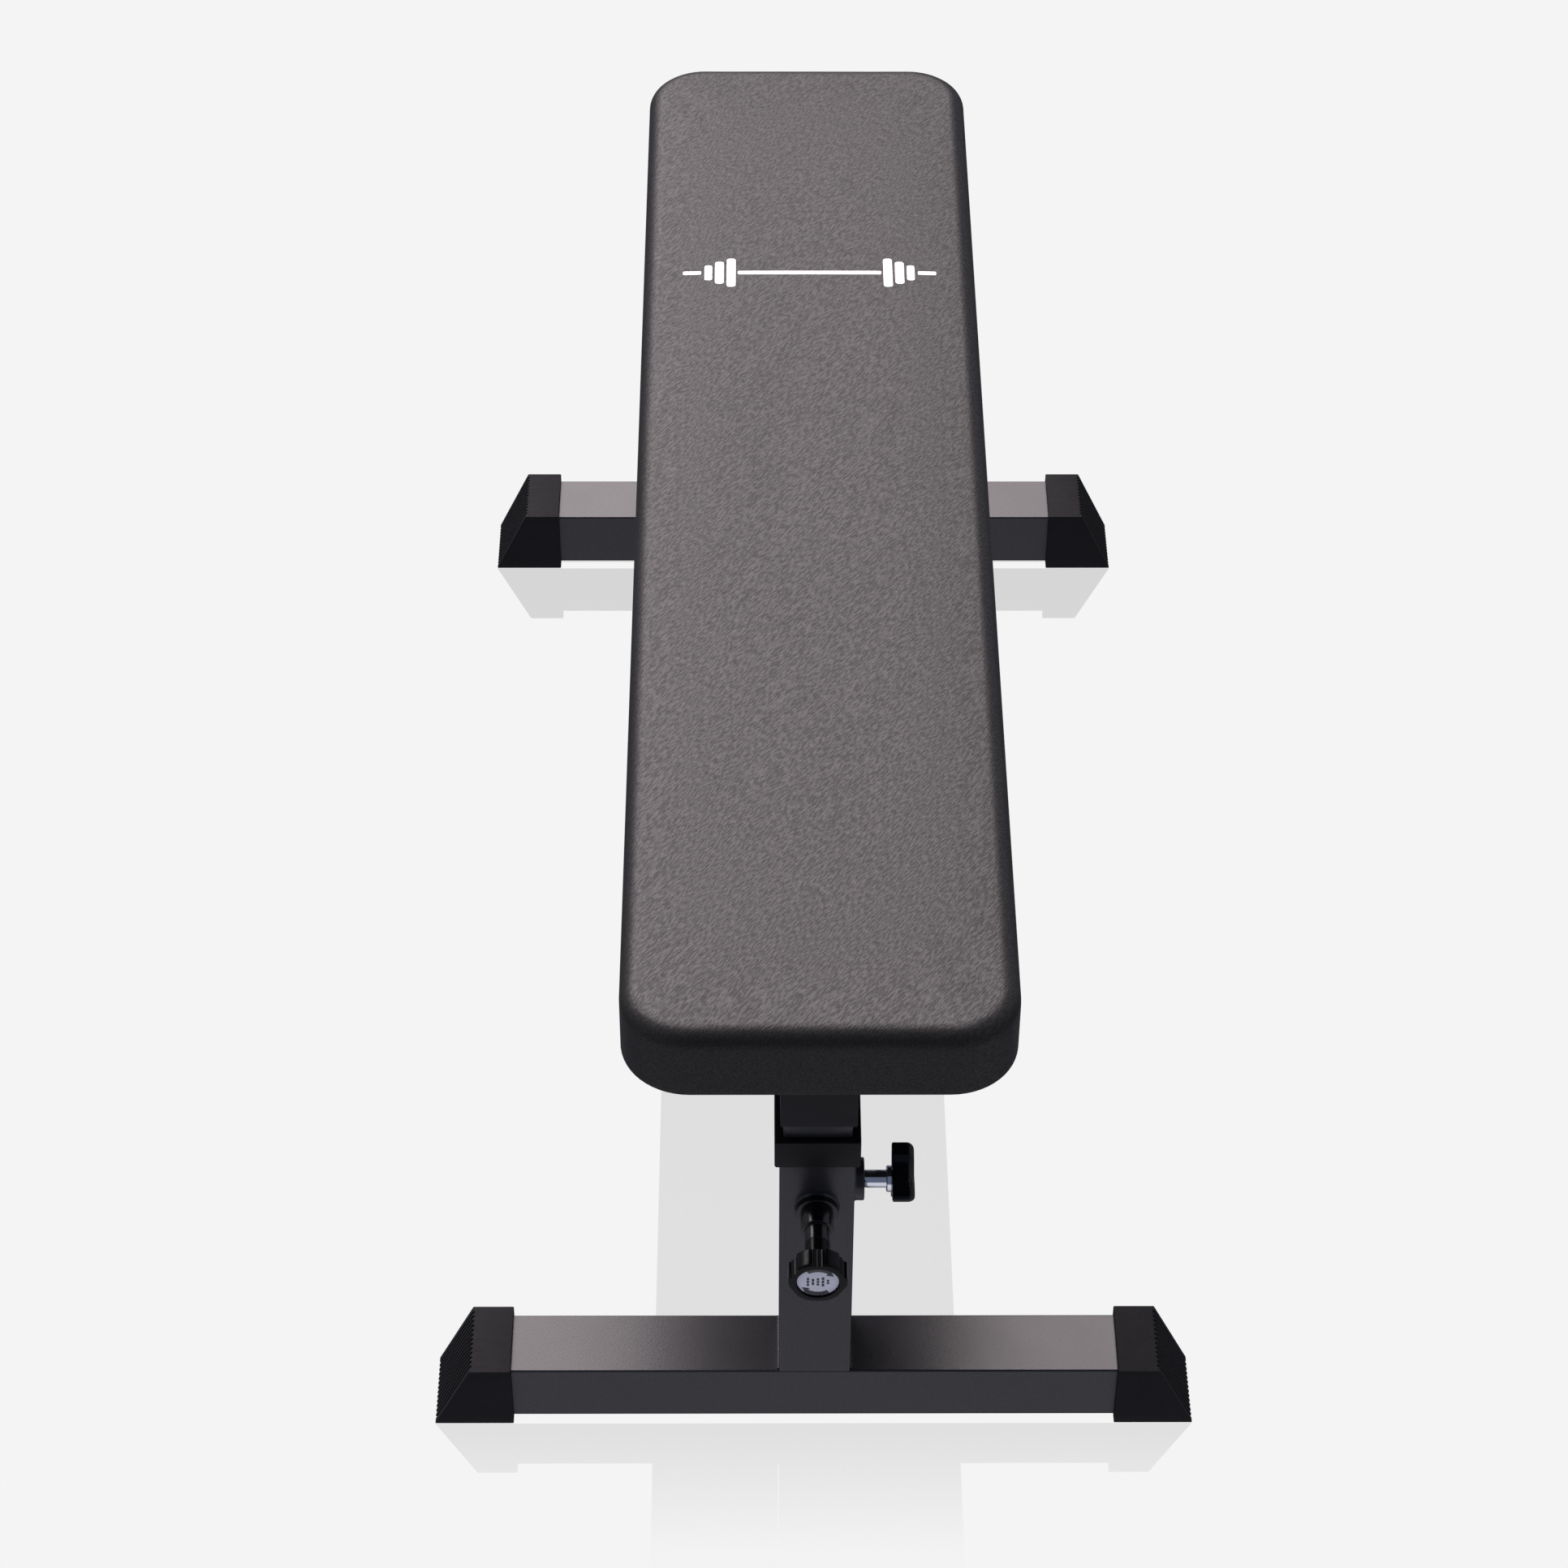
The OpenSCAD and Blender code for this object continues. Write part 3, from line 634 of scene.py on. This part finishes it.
def label(end):
    """Printed disc with two turning arrows and rows of plain dashes."""
    r = (LABEL_HIGH.x - LABEL_LOW.x) / 2
    top = FACE_Y - LABEL_LOW.y
    thick, ink_thick, centre_r = 0.5, 0.05, 0.5
    profile = [(top - thick, centre_r), (top - thick, r)]
    profile += [(s, r - inset) for s, inset in round_edge(top - thick, top, 0.2)]
    profile.append((top, centre_r))
    disc = moved(loft(lathe(profile, 96), closed=True), out_of_face)
    plug = flat_shape([polar(centre_r + 0.1, 2 * math.pi * k / 16) for k in range(16)],
                      top - thick, thick)
    piece = make_piece(f"{end}_label", [disc, plug], end)
    finish_piece(piece, f"{end}_pin", "label_print", f"{end}_pin_label")

    shapes = []
    band_in, band_out = 10.2, 13.5
    for half in (0, 180):
        arc = [math.radians(half + a) for a in range(50, 126, 5)]
        outer = [polar(band_out, a) for a in arc]
        inner = [polar(band_in, a) for a in reversed(arc)]
        shapes.append(flat_shape(outer + inner, top, ink_thick))
        tip, back = math.radians(half + 27), math.radians(half + 51)
        arrow = [polar(11.8, tip), polar(13.7, back), polar(8.2, back)]
        shapes.append(flat_shape(arrow, top, ink_thick))
    for across, length in ((-6.6, 9), (-3.3, 7), (0, 8), (3.3, 10), (6.6, 5)):
        dashes = max(2, round(length / 3))
        for k in range(dashes):
            middle = (k - (dashes - 1) / 2) * length / dashes
            bar = [(across + x, middle + y)
                   for x, y in square_outline(1.7, length / dashes - 0.5, 0.3, 3)]
            shapes.append(flat_shape(bar, top, ink_thick))
    ink = make_piece(f"{end}_label_print", shapes, end)
    finish_piece(ink, f"{end}_pin", "label_print", paint="label_ink")


# ---------------------------------------------------------------- clamp screw

SCREW_R = 6.0


def weld_nut(end):
    """Round weld nut on the side of the upright, with its weld."""
    r = (NUT_HIGH.z - NUT_LOW.z) / 2
    bore = SCREW_R + 0.05
    start, stop = NUT_LOW.x, NUT_HIGH.x
    profile = [(start + s, r + rise) for s, rise in FILLET]
    profile += [(s, r - inset) for s, inset in round_edge(start, stop, 0.9)]
    profile += [(stop, bore + 0.45), (stop - 0.5, bore), (start, bore)]
    part = moved(loft(lathe(profile), closed=True), out_of_side)
    piece = make_piece(f"{end}_weld_nut", [part], end)
    finish_piece(piece, "bases", "frame_coat", f"{end}_clamp_nut")


def clamp_screw(end):
    """Screw with a rolled thread in the nut, a plain shank, and the knob's collar."""
    start, stop = SCREW_LOW.x, SCREW_HIGH.x
    collar_end = LOBES_LOW.x
    collar_start = collar_end - 3.7
    collar_r, socket_r, socket_end = 8.9, 3.05, start + 6.2
    thread_end = NUT_HIGH.x + 0.3
    pitch, thread_depth, station_step = 1.75, 0.95, 0.2

    def thread(angle, station, radius):
        if radius < SCREW_R - 0.5 or station > thread_end:
            return radius
        phase = (station / pitch - angle / (2 * math.pi)) % 1.0
        return radius - thread_depth * (1 - abs(2 * phase - 1))

    profile = [(start, socket_r), (start, 5.2)]
    first = start + 0.3
    count = int((thread_end - start - 0.3) / station_step)
    profile += [(first + i * station_step, SCREW_R) for i in range(count)]
    profile += [(thread_end + 0.4, SCREW_R), (collar_start, SCREW_R), (collar_start, collar_r - 0.6),
                (collar_start + 0.6, collar_r), (collar_end - 0.4, collar_r),
                (collar_end, collar_r - 0.4), (collar_end, SCREW_R), (stop, SCREW_R), (stop, 1.0),
                (socket_end, 1.0), (socket_end, socket_r)]
    part = moved(loft(lathe(profile, 72, thread), closed=True), out_of_side)
    piece = make_piece(f"{end}_screw", [part], end, 40)
    finish_piece(piece, f"{end}_clamp_screw", "screw_chrome", f"{end}_clamp_screw")


def lobe_radius(angle):
    """Radius of a triangle with rounded corners and hollowed sides, for the lobed knob."""
    tip, tip_r, hollow_depth, hollow_r = 24.5, 3.0, 3.0, 24.0
    away = angle % (2 * math.pi / 3)
    away = min(away, 2 * math.pi / 3 - away)
    centre = tip - tip_r
    side = centre / 2 + tip_r
    across = centre * math.sin(away)
    if across ** 2 < tip_r ** 2 and away < math.radians(6.5):
        return centre * math.cos(away) + math.sqrt(tip_r ** 2 - across ** 2)
    to_side = math.pi / 3 - away
    flat = side / math.cos(to_side)
    reach = side - hollow_depth + hollow_r
    inside = hollow_r ** 2 - (reach * math.sin(to_side)) ** 2
    if inside <= 0:
        return flat
    return min(flat, reach * math.cos(to_side) - math.sqrt(inside))


def lobed_knob(end):
    """Three-lobed knob, domed over its outer edge, with a shallow dish in its face."""
    start, stop = LOBES_LOW.x, LOBES_HIGH.x
    sides, dome, edge = 240, 5.0, 0.9
    first = math.radians(46)

    def lobes(inset, station, shrink=1.0):
        ring = []
        for k in range(sides):
            a = 2 * math.pi * k / sides
            r = lobe_radius(a - first) * shrink - inset
            ring.append((*polar(r, a), station))
        return ring

    rings = [lobes(5, start, 0.55), lobes(1.0, start), lobes(0.3, start + 0.25),
             lobes(0, start + edge)]
    rings += [lobes(0, start + (stop - start - dome - 0.5) * k / 3 + edge) for k in range(1, 3)]
    rings += [lobes(inset, s) for s, inset in round_edge(start, stop, dome, 8)]
    rings += [lobes(4.4, stop, 0.8), lobes(3.6, stop - 0.35, 0.72), lobes(2.0, stop - 0.4, 0.3)]
    part = moved(loft(rings), out_of_side)
    piece = make_piece(f"{end}_lobed_knob", [part], end, 40)
    finish_piece(piece, f"{end}_clamp_screw", "knob_plastic", f"{end}_clamp_knob")


# ---------------------------------------------------------------- beam ends, welds, fasteners

def beam_end(end):
    """Square plug cap with a soft edge and a flat face, on a spigot that fills the beam."""
    size = BEAM_CAP_HIGH.x - BEAM_CAP_LOW.x
    front = BEAM_CAP_LOW.y
    z = (BEAM_LOW.z + BEAM_HIGH.z) / 2

    def ring(w, r, y):
        return [(px, y, z + pz) for px, pz in square_outline(w, w, r)]

    spigot = size - 3.2
    rings = [ring(spigot - 0.8, 1.0, BEAM_CAP_HIGH.y), ring(spigot, 1.0, BEAM_CAP_HIGH.y - 1),
             ring(spigot, 1.0, front + 3.5), ring(size, 1.8, front + 3.5)]
    rings += [ring(size, 1.8, front + 0.7), ring(size - 0.3, 1.7, front + 0.5),
              ring(size - 1.2, 1.4, front + 0.05), ring(size - 1.6, 1.4, front)]
    rings += [ring(size * 0.8, 2.0, front), ring(size * 0.4, 1.5, front)]
    piece = make_piece(f"beam_end_{end}", [loft(rings)], end)
    finish_piece(piece, "seat_frame", "cap_plastic", f"beam_cap_{end}", paint="end_plastic")


def bead(start, stop):
    """Rippled weld bead along a straight line."""
    a, b = Vector(start), Vector(stop)
    count = max(2, int((b - a).length / 0.5))
    path = [tuple(a.lerp(b, i / count)) for i in range(count + 1)]
    return tube_along(path, 1.3, 8, ripple=0.12, ripple_pitch=2.4)


def welds(end):
    """Fillet welds round the foot of the upright and where the post meets the beam."""
    short = 2.0     # how far a bead stops before the tube's corner
    half = (BAR_HIGH.y - BAR_LOW.y) / 2
    top = BAR_HIGH.z
    runs = [bead((x, FACE_Y + short, top), (x, FACE_Y + 2 * half - short, top))
            for x in (-half, half)]
    piece = make_piece(f"{end}_base_weld", runs, end, 60)
    finish_piece(piece, "bases", "frame_coat")
    half = (POST_HIGH.x - POST_LOW.x) / 2
    under = BEAM_LOW.z
    runs = [bead((x, BAR_Y - half + short, under), (x, BAR_Y + half - short, under))
            for x in (-half, half)]
    runs += [bead((-half + short, y, under), (half - short, y, under))
             for y in (BAR_Y - half, BAR_Y + half)]
    piece = make_piece(f"{end}_post_weld", runs, end, 60)
    finish_piece(piece, "seat_frame", "frame_coat")


# ---------------------------------------------------------------- pad

PAD_CORNER = 45.0       # radius of the pad's corners, seen from above
PAD_EDGE = 13.0         # radius of the rim round its top
PAD_INSET = 0.15        # how far its skin keeps inside the CAD solid
PAD_MIDDLE = ((PAD_LOW.x + PAD_HIGH.x) / 2, (PAD_LOW.y + PAD_HIGH.y) / 2)
PAD_HALF = ((PAD_HIGH.x - PAD_LOW.x) / 2, (PAD_HIGH.y - PAD_LOW.y) / 2)


def pad_ring(inset, z, steps=14, side_steps=150, end_steps=26):
    """Points round the pad's outline, drawn in by inset, with evenly split sides."""
    half_w, half_l = max(PAD_HALF[0] - inset, 0.0), PAD_HALF[1] - inset
    r = min(max(PAD_CORNER - inset, 14.0), half_w)
    cx, cy = PAD_MIDDLE
    corners = ((1, 1), (-1, 1), (-1, -1), (1, -1))

    def on_corner(c, a):
        sx, sy = corners[c]
        return (cx + sx * (half_w - r) + r * math.cos(a), cy + sy * (half_l - r) + r * math.sin(a))

    ring = []
    for c in range(4):
        ring += [on_corner(c, math.radians(90 * c + 90 * i / steps)) for i in range(steps + 1)]
        here = ring[-1]
        to = on_corner((c + 1) % 4, math.radians(90 * (c + 1)))
        count = end_steps if c % 2 == 0 else side_steps
        ring += [(here[0] + (to[0] - here[0]) * k / count,
                  here[1] + (to[1] - here[1]) * k / count) for k in range(1, count)]
    return [(x, y, z) for x, y in ring]


def pleated(ring, depth):
    """Folds of the turned-under cover where it goes round each corner, seen from below."""
    cx, cy = PAD_MIDDLE
    half_w, half_l = PAD_HALF[0] - PAD_CORNER, PAD_HALF[1] - PAD_CORNER
    out = []
    for x, y, z in ring:
        dx, dy = abs(x - cx) - half_w, abs(y - cy) - half_l
        if dx > 0 and dy > 0:
            a = math.atan2(dy, dx)
            fold = abs(math.sin(a * 7)) ** 0.6 * min(1, a * 6, (math.pi / 2 - a) * 6)
            z -= depth * fold
        out.append((x, y, z))
    return out


def pad_form(inset):
    """The pad's skin: turned-under edge, upright sides, rounded rim, flat top."""
    low, high = BACKING_LOW.z + 0.1, PAD_HIGH.z - inset
    rings = [pad_ring(34, low + 2.0), pleated(pad_ring(33, low + 1.5), 0.3)]
    rings += [pleated(pad_ring(d, low + 0.9), 0.1) for d in (26, 19, 15)]
    rings += [pleated(pad_ring(d, low + 0.4), 0.35) for d in (12, 6)]
    rings += [pad_ring(d + inset, low + z)
              for d, z in ((1.2, 0.05), (0.45, 0.15), (0.12, 0.5), (0.0, 1.2))]
    walls, foot = 7, 5
    for k in range(walls + 1):
        z = low + foot + (high - PAD_EDGE - low - foot) * k / walls
        rings.append(pad_ring(inset, z))
    for i in range(1, 13):
        a = math.radians(90 * i / 12)
        rings.append(pad_ring(inset + PAD_EDGE * (1 - math.cos(a)),
                              high - PAD_EDGE * (1 - math.sin(a))))
    half_w = PAD_HALF[0]
    d = PAD_EDGE + inset
    while d + 5.5 < half_w:
        d += 5.0
        rings.append(pad_ring(d, high))
    rings.append(pad_ring(half_w, high))
    return rings


def cloth_travel(shape, hold, pressure=4.0, voxel=0.008, frames=20):
    """How far each point of a remeshed copy moves when the cover is filled from inside."""
    scene = bpy.context.scene
    remesh = shape.modifiers.new("remesh", "REMESH")
    remesh.mode = "VOXEL"
    remesh.voxel_size = voxel
    graph = bpy.context.evaluated_depsgraph_get()
    mesh = bpy.data.meshes.new_from_object(shape.evaluated_get(graph))
    shape.modifiers.remove(remesh)
    bag = bpy.data.objects.new("filled_cover", mesh)
    scene.collection.objects.link(bag)
    held = bag.vertex_groups.new(name="held")
    for v in mesh.vertices:
        held.add([v.index], hold(v.co.z / MM), "REPLACE")
    cloth = bag.modifiers.new("cloth", "CLOTH")
    cloth.settings.quality = 5
    cloth.settings.mass = 0.4
    cloth.settings.tension_stiffness = 80
    cloth.settings.compression_stiffness = 80
    cloth.settings.shear_stiffness = 40
    cloth.settings.bending_stiffness = 5.0
    cloth.settings.use_pressure = True
    cloth.settings.uniform_pressure_force = pressure
    cloth.settings.effector_weights.gravity = 0.0
    cloth.settings.vertex_group_mass = "held"
    cloth.point_cache.frame_start = 1
    cloth.point_cache.frame_end = frames
    start = [v.co.copy() for v in mesh.vertices]
    for frame_number in range(1, frames + 1):
        scene.frame_set(frame_number)
    graph = bpy.context.evaluated_depsgraph_get()
    filled = bag.evaluated_get(graph).to_mesh()
    travel = [v.co - p for v, p in zip(filled.vertices, start)]
    bag.evaluated_get(graph).to_mesh_clear()
    scene.frame_set(1)
    bpy.data.objects.remove(bag)
    bpy.data.meshes.remove(mesh)
    return start, travel


def fill_out(piece, start, travel, limit):
    """Moves a clean mesh as the simulated cover moved, scaled so that none goes past the limit."""
    tree = kdtree.KDTree(len(start))
    for i, point in enumerate(start):
        tree.insert(point, i)
    tree.balance()
    scale = limit / max(1e-9, max(t.length for t in travel))
    nearest, reach = 12, 0.006
    for v in piece.data.vertices:
        total, weight = Vector(), 0.0
        for _, i, distance in tree.find_n(v.co, nearest):
            w = math.exp(-(distance / reach) ** 2) + 1e-6
            total += travel[i] * w
            weight += w
        v.co += total / weight * scale


def pad():
    """Upholstered pad: a closed cover, filled out by a cloth simulation of its stuffing."""
    piece = make_piece("pad", [loft(pad_form(PAD_INSET), cap_first=False, cap_last=False)],
                       smooth_angle=60)
    bm = bmesh.new()
    bm.from_mesh(piece.data)
    bmesh.ops.remove_doubles(bm, verts=bm.verts, dist=0.00002)
    open_edges = [e for e in bm.edges if len(e.link_faces) == 1]
    bmesh.ops.contextual_create(bm, geom=open_edges)
    bmesh.ops.recalc_face_normals(bm, faces=bm.faces)
    bm.to_mesh(piece.data)
    bm.free()
    held_to = PAD_HIGH.z - PAD_EDGE - 4     # the walls are held, and let go over the rim
    let_go = 14

    def hold(z):
        return 1.0 if z < held_to else max(0.0, 0.9 * (1 - (z - held_to) / let_go))

    start, travel = cloth_travel(piece, hold)
    fill_out(piece, start, travel, 0.0016)
    finish_piece(piece, "seat_frame", "vinyl_top", "pad_cover", "pad_foam")
    return piece


def top_height(piece, x, y):
    """Height of the pad's skin over a point, in millimetres."""
    hit, place, _, _ = piece.ray_cast(Vector((x * MM, y * MM, 1.0)), Vector((0, 0, -1)))
    return place.z / MM if hit else PAD_HIGH.z


def pad_print(piece):
    """Plain printed motif that lies on the skin: a bar with three discs at each end."""
    cy = 256.0              # along the bench, from its middle
    lift, thick = 0.02, 0.12
    shapes = []

    def plate(cx, w, h, r):
        """Rounded rectangle of ink, with extra points along its length to follow the skin."""
        count = max(1, int(w / 8))
        outline = square_outline(w, h, r, 5)
        right = [q for q in outline if q[0] > 0]
        left = [q for q in outline if q[0] < 0]
        top = [(w / 2 - r - (w - 2 * r) * k / count, h / 2) for k in range(1, count)]
        bottom = [(-x, -y) for x, y in top]
        half = len(right) // 2
        loop = right[:half] + top + left + bottom + right[half:]
        points = [(cx + x, cy + y) for x, y in loop]
        heights = [top_height(piece, x, y) for x, y in points]
        low = [(x, y, z + lift) for (x, y), z in zip(points, heights)]
        up = [(x, y, z + thick) for (x, y), z in zip(points, heights)]
        shapes.append(loft([low, up]))

    plate(0, 110, 4.6, 1.2)
    for sx in (-1, 1):
        plate(sx * 60, 7.0, 36, 2.6)
        plate(sx * 69, 7.0, 28, 2.4)
        plate(sx * 77.5, 6.0, 19, 2.0)
        plate(sx * 90, 14, 4.6, 1.2)
    ink = make_piece("pad_print", shapes, smooth_angle=40)
    finish_piece(ink, "seat_frame", "vinyl_top", paint="print_ink")


def staples():
    """Wire staples that hold the cloth backing and the turned-under cover to the board."""
    apart, half, wire_r = 38, 4.9, 0.45
    sink, stand = Vector((0, 0, 0.6)), Vector((0, 0, 0.35))
    ring = pad_ring(BACKING_INSET + 6, BACKING_LOW.z)
    parts = []
    travelled, last = 0.0, ring[-1]
    for i, here in enumerate(ring):
        travelled += math.dist(here, last)
        last = here
        if travelled < apart:
            continue
        travelled = 0.0
        ahead = ring[(i + 1) % len(ring)]
        along = Vector((ahead[0] - here[0], ahead[1] - here[1], 0)).normalized()
        middle = Vector(here)
        path = [middle - along * (half + 0.6) + sink, middle - along * (half + 0.5),
                middle - along * half - stand, middle + along * half - stand,
                middle + along * (half + 0.5), middle + along * (half + 0.6) + sink]
        parts.append(tube_along([tuple(q) for q in path], wire_r, 6))
    piece = make_piece("staples", parts, smooth_angle=60)
    finish_piece(piece, "seat_frame", "zinc")


# ---------------------------------------------------------------- stage

FLOOR_WHITE = 0.9047      # the backdrop's radiance, a light grey of 244 once displayed


def studio_world():
    """A dark room with one soft window behind the bench and light coming up off the floor.

    The camera, and the floor's mirror, see the plain backdrop instead."""
    world = bpy.data.worlds.new("studio")
    bpy.context.scene.world = world
    world.use_nodes = True
    tree = world.node_tree
    out = tree.nodes["Background"]

    def node(kind, **settings):
        made = tree.nodes.new(kind)
        for key, value in settings.items():
            setattr(made, key, value)
        return made

    def ramp(value, low, high, to_low=0.0, to_high=1.0):
        made = node("ShaderNodeMapRange", interpolation_type="SMOOTHSTEP")
        tree.links.new(value, made.inputs["Value"])
        for key, number in (("From Min", low), ("From Max", high),
                            ("To Min", to_low), ("To Max", to_high)):
            made.inputs[key].default_value = number
        return made.outputs["Result"]

    def mix(fac, a, b, blend="MIX"):
        made = node("ShaderNodeMix", data_type="RGBA", blend_type=blend)
        for key, value in (("Factor", fac), ("A", a), ("B", b)):
            if isinstance(value, bpy.types.NodeSocket):
                tree.links.new(value, made.inputs[key])
            else:
                made.inputs[key].default_value = value
        return made.outputs["Result"]

    coords = node("ShaderNodeTexCoord").outputs["Generated"]
    split = node("ShaderNodeSeparateXYZ")
    tree.links.new(coords, split.inputs[0])
    toward = node("ShaderNodeVectorMath", operation="DOT_PRODUCT")
    tree.links.new(coords, toward.inputs[0])
    toward.inputs[1].default_value = Vector((-0.23, 0.57, 0.79)).normalized()
    window = ramp(toward.outputs["Value"], 0.80, 0.95, 0.0, 7.8)
    floor_front, floor_rear = (0.62, 0.62, 0.69, 1), (0.16, 0.16, 0.19, 1)
    below = mix(ramp(split.outputs["Y"], -0.5, 0.3), floor_front, floor_rear)
    glow = mix(ramp(split.outputs["Y"], -0.82, -0.62), (0.12, 0.12, 0.14, 1), (0, 0, 0, 1))
    below = mix(1.0, below, glow, "ADD")
    sideways = node("ShaderNodeMath", operation="ABSOLUTE")
    tree.links.new(split.outputs["X"], sideways.inputs[0])
    dark_wall, side_wall = (0.12, 0.14, 0.20, 1), (0.42, 0.43, 0.49, 1)
    upper = mix(ramp(sideways.outputs[0], 0.40, 0.62), dark_wall, side_wall)
    room = mix(ramp(split.outputs["Z"], -0.25, 0.08), below, upper)
    tinted = node("ShaderNodeVectorMath", operation="SCALE")
    tinted.inputs[0].default_value = (1.0, 0.90, 0.91)
    tree.links.new(window, tinted.inputs["Scale"])
    total = node("ShaderNodeVectorMath", operation="ADD")
    tree.links.new(room, total.inputs[0])
    tree.links.new(tinted.outputs[0], total.inputs[1])
    path = node("ShaderNodeLightPath")
    seen = node("ShaderNodeMath", operation="MAXIMUM")
    tree.links.new(path.outputs["Is Camera Ray"], seen.inputs[0])
    tree.links.new(path.outputs["Is Singular Ray"], seen.inputs[1])
    white = (FLOOR_WHITE, FLOOR_WHITE, FLOOR_WHITE, 1)
    tree.links.new(mix(seen.outputs[0], total.outputs[0], white), out.inputs["Color"])
    out.inputs["Strength"].default_value = 1.0


def floor():
    """Pale floor that mirrors the bench faintly toward the rear, but not under the crossbars."""
    bm = bmesh.new()
    bmesh.ops.create_grid(bm, x_segments=1, y_segments=1, size=40)   # half of its width, in metres
    mesh = bpy.data.meshes.new("floor")
    bm.to_mesh(mesh)
    bm.free()
    plane = bpy.data.objects.new("floor", mesh)
    bpy.context.scene.collection.objects.link(plane)
    plane.location.z = -0.0002
    paint = Paint("floor", (0.9, 0.9, 0.9), 0.9)
    tree = paint.tree
    light = paint.node("ShaderNodeEmission")
    light.inputs["Color"].default_value = (1, 1, 1, 1)
    light.inputs["Strength"].default_value = FLOOR_WHITE
    mirror = paint.node("ShaderNodeBsdfGlossy")
    mirror.inputs["Color"].default_value = (1, 1, 1, 1)
    mirror.inputs["Roughness"].default_value = 0.0
    y = paint.along("Y")
    share = paint.sum(paint.span(y, -0.60, -0.50, 0.015, 0.18), paint.span(y, -0.30, 0.42, 0.0, 0.08))
    for bar_y in (FACE_Y, -FACE_Y - (BAR_HIGH.y - BAR_LOW.y)):
        off = paint.sum(paint.sum(y, -bar_y * MM), 0.0, "ABSOLUTE")
        share = paint.sum(share, paint.sum(off, BAR_LOW.z * MM, "GREATER_THAN"), "MULTIPLY")
    both = paint.node("ShaderNodeMixShader")
    tree.links.new(share, both.inputs[0])
    tree.links.new(light.outputs[0], both.inputs[1])
    tree.links.new(mirror.outputs[0], both.inputs[2])
    tree.links.new(both.outputs[0], tree.nodes["Material Output"].inputs["Surface"])
    plane.data.materials.append(paint.material)
    plane.visible_diffuse = False
    plane.visible_glossy = False
    plane.visible_transmission = False
    plane.visible_shadow = False


def stage():
    """Backdrop, light and floor, shown without a filmic curve."""
    bpy.context.scene.view_settings.view_transform = "Standard"
    studio_world()
    floor()


def camera():
    """Camera above and in front of the bench, looking down along it."""
    pitch, yaw, roll = math.radians(44.071), math.radians(0.466), math.radians(0.3)
    place, lens, sensor = Vector((-0.0373, -2.1803, 2.2660)), 90.31, 36
    ahead = Vector((math.sin(yaw) * math.cos(pitch), math.cos(yaw) * math.cos(pitch), -math.sin(pitch)))
    right = Vector((math.cos(yaw), -math.sin(yaw), 0))
    up = right.cross(ahead)
    rolled_right = right * math.cos(roll) + up * math.sin(roll)
    rolled_up = up * math.cos(roll) - right * math.sin(roll)
    data = bpy.data.cameras.new("camera")
    data.sensor_width = sensor
    data.lens = lens
    eye = bpy.data.objects.new("camera", data)
    matrix = Matrix((rolled_right, rolled_up, -ahead)).transposed().to_4x4()
    matrix.translation = place
    eye.matrix_world = matrix
    bpy.context.scene.collection.objects.link(eye)
    bpy.context.scene.camera = eye


# ---------------------------------------------------------------- build

dress_cad_nodes()
for which in ENDS:
    foot_cap(which, 1)
    foot_cap(which, -1)
    guide_sleeve(which)
    boss(which)
    barrel(which)
    spring(which)
    pull_knob(which)
    label(which)
    weld_nut(which)
    clamp_screw(which)
    lobed_knob(which)
    beam_end(which)
    welds(which)
cushion = pad()
pad_print(cushion)
staples()
stage()
camera()
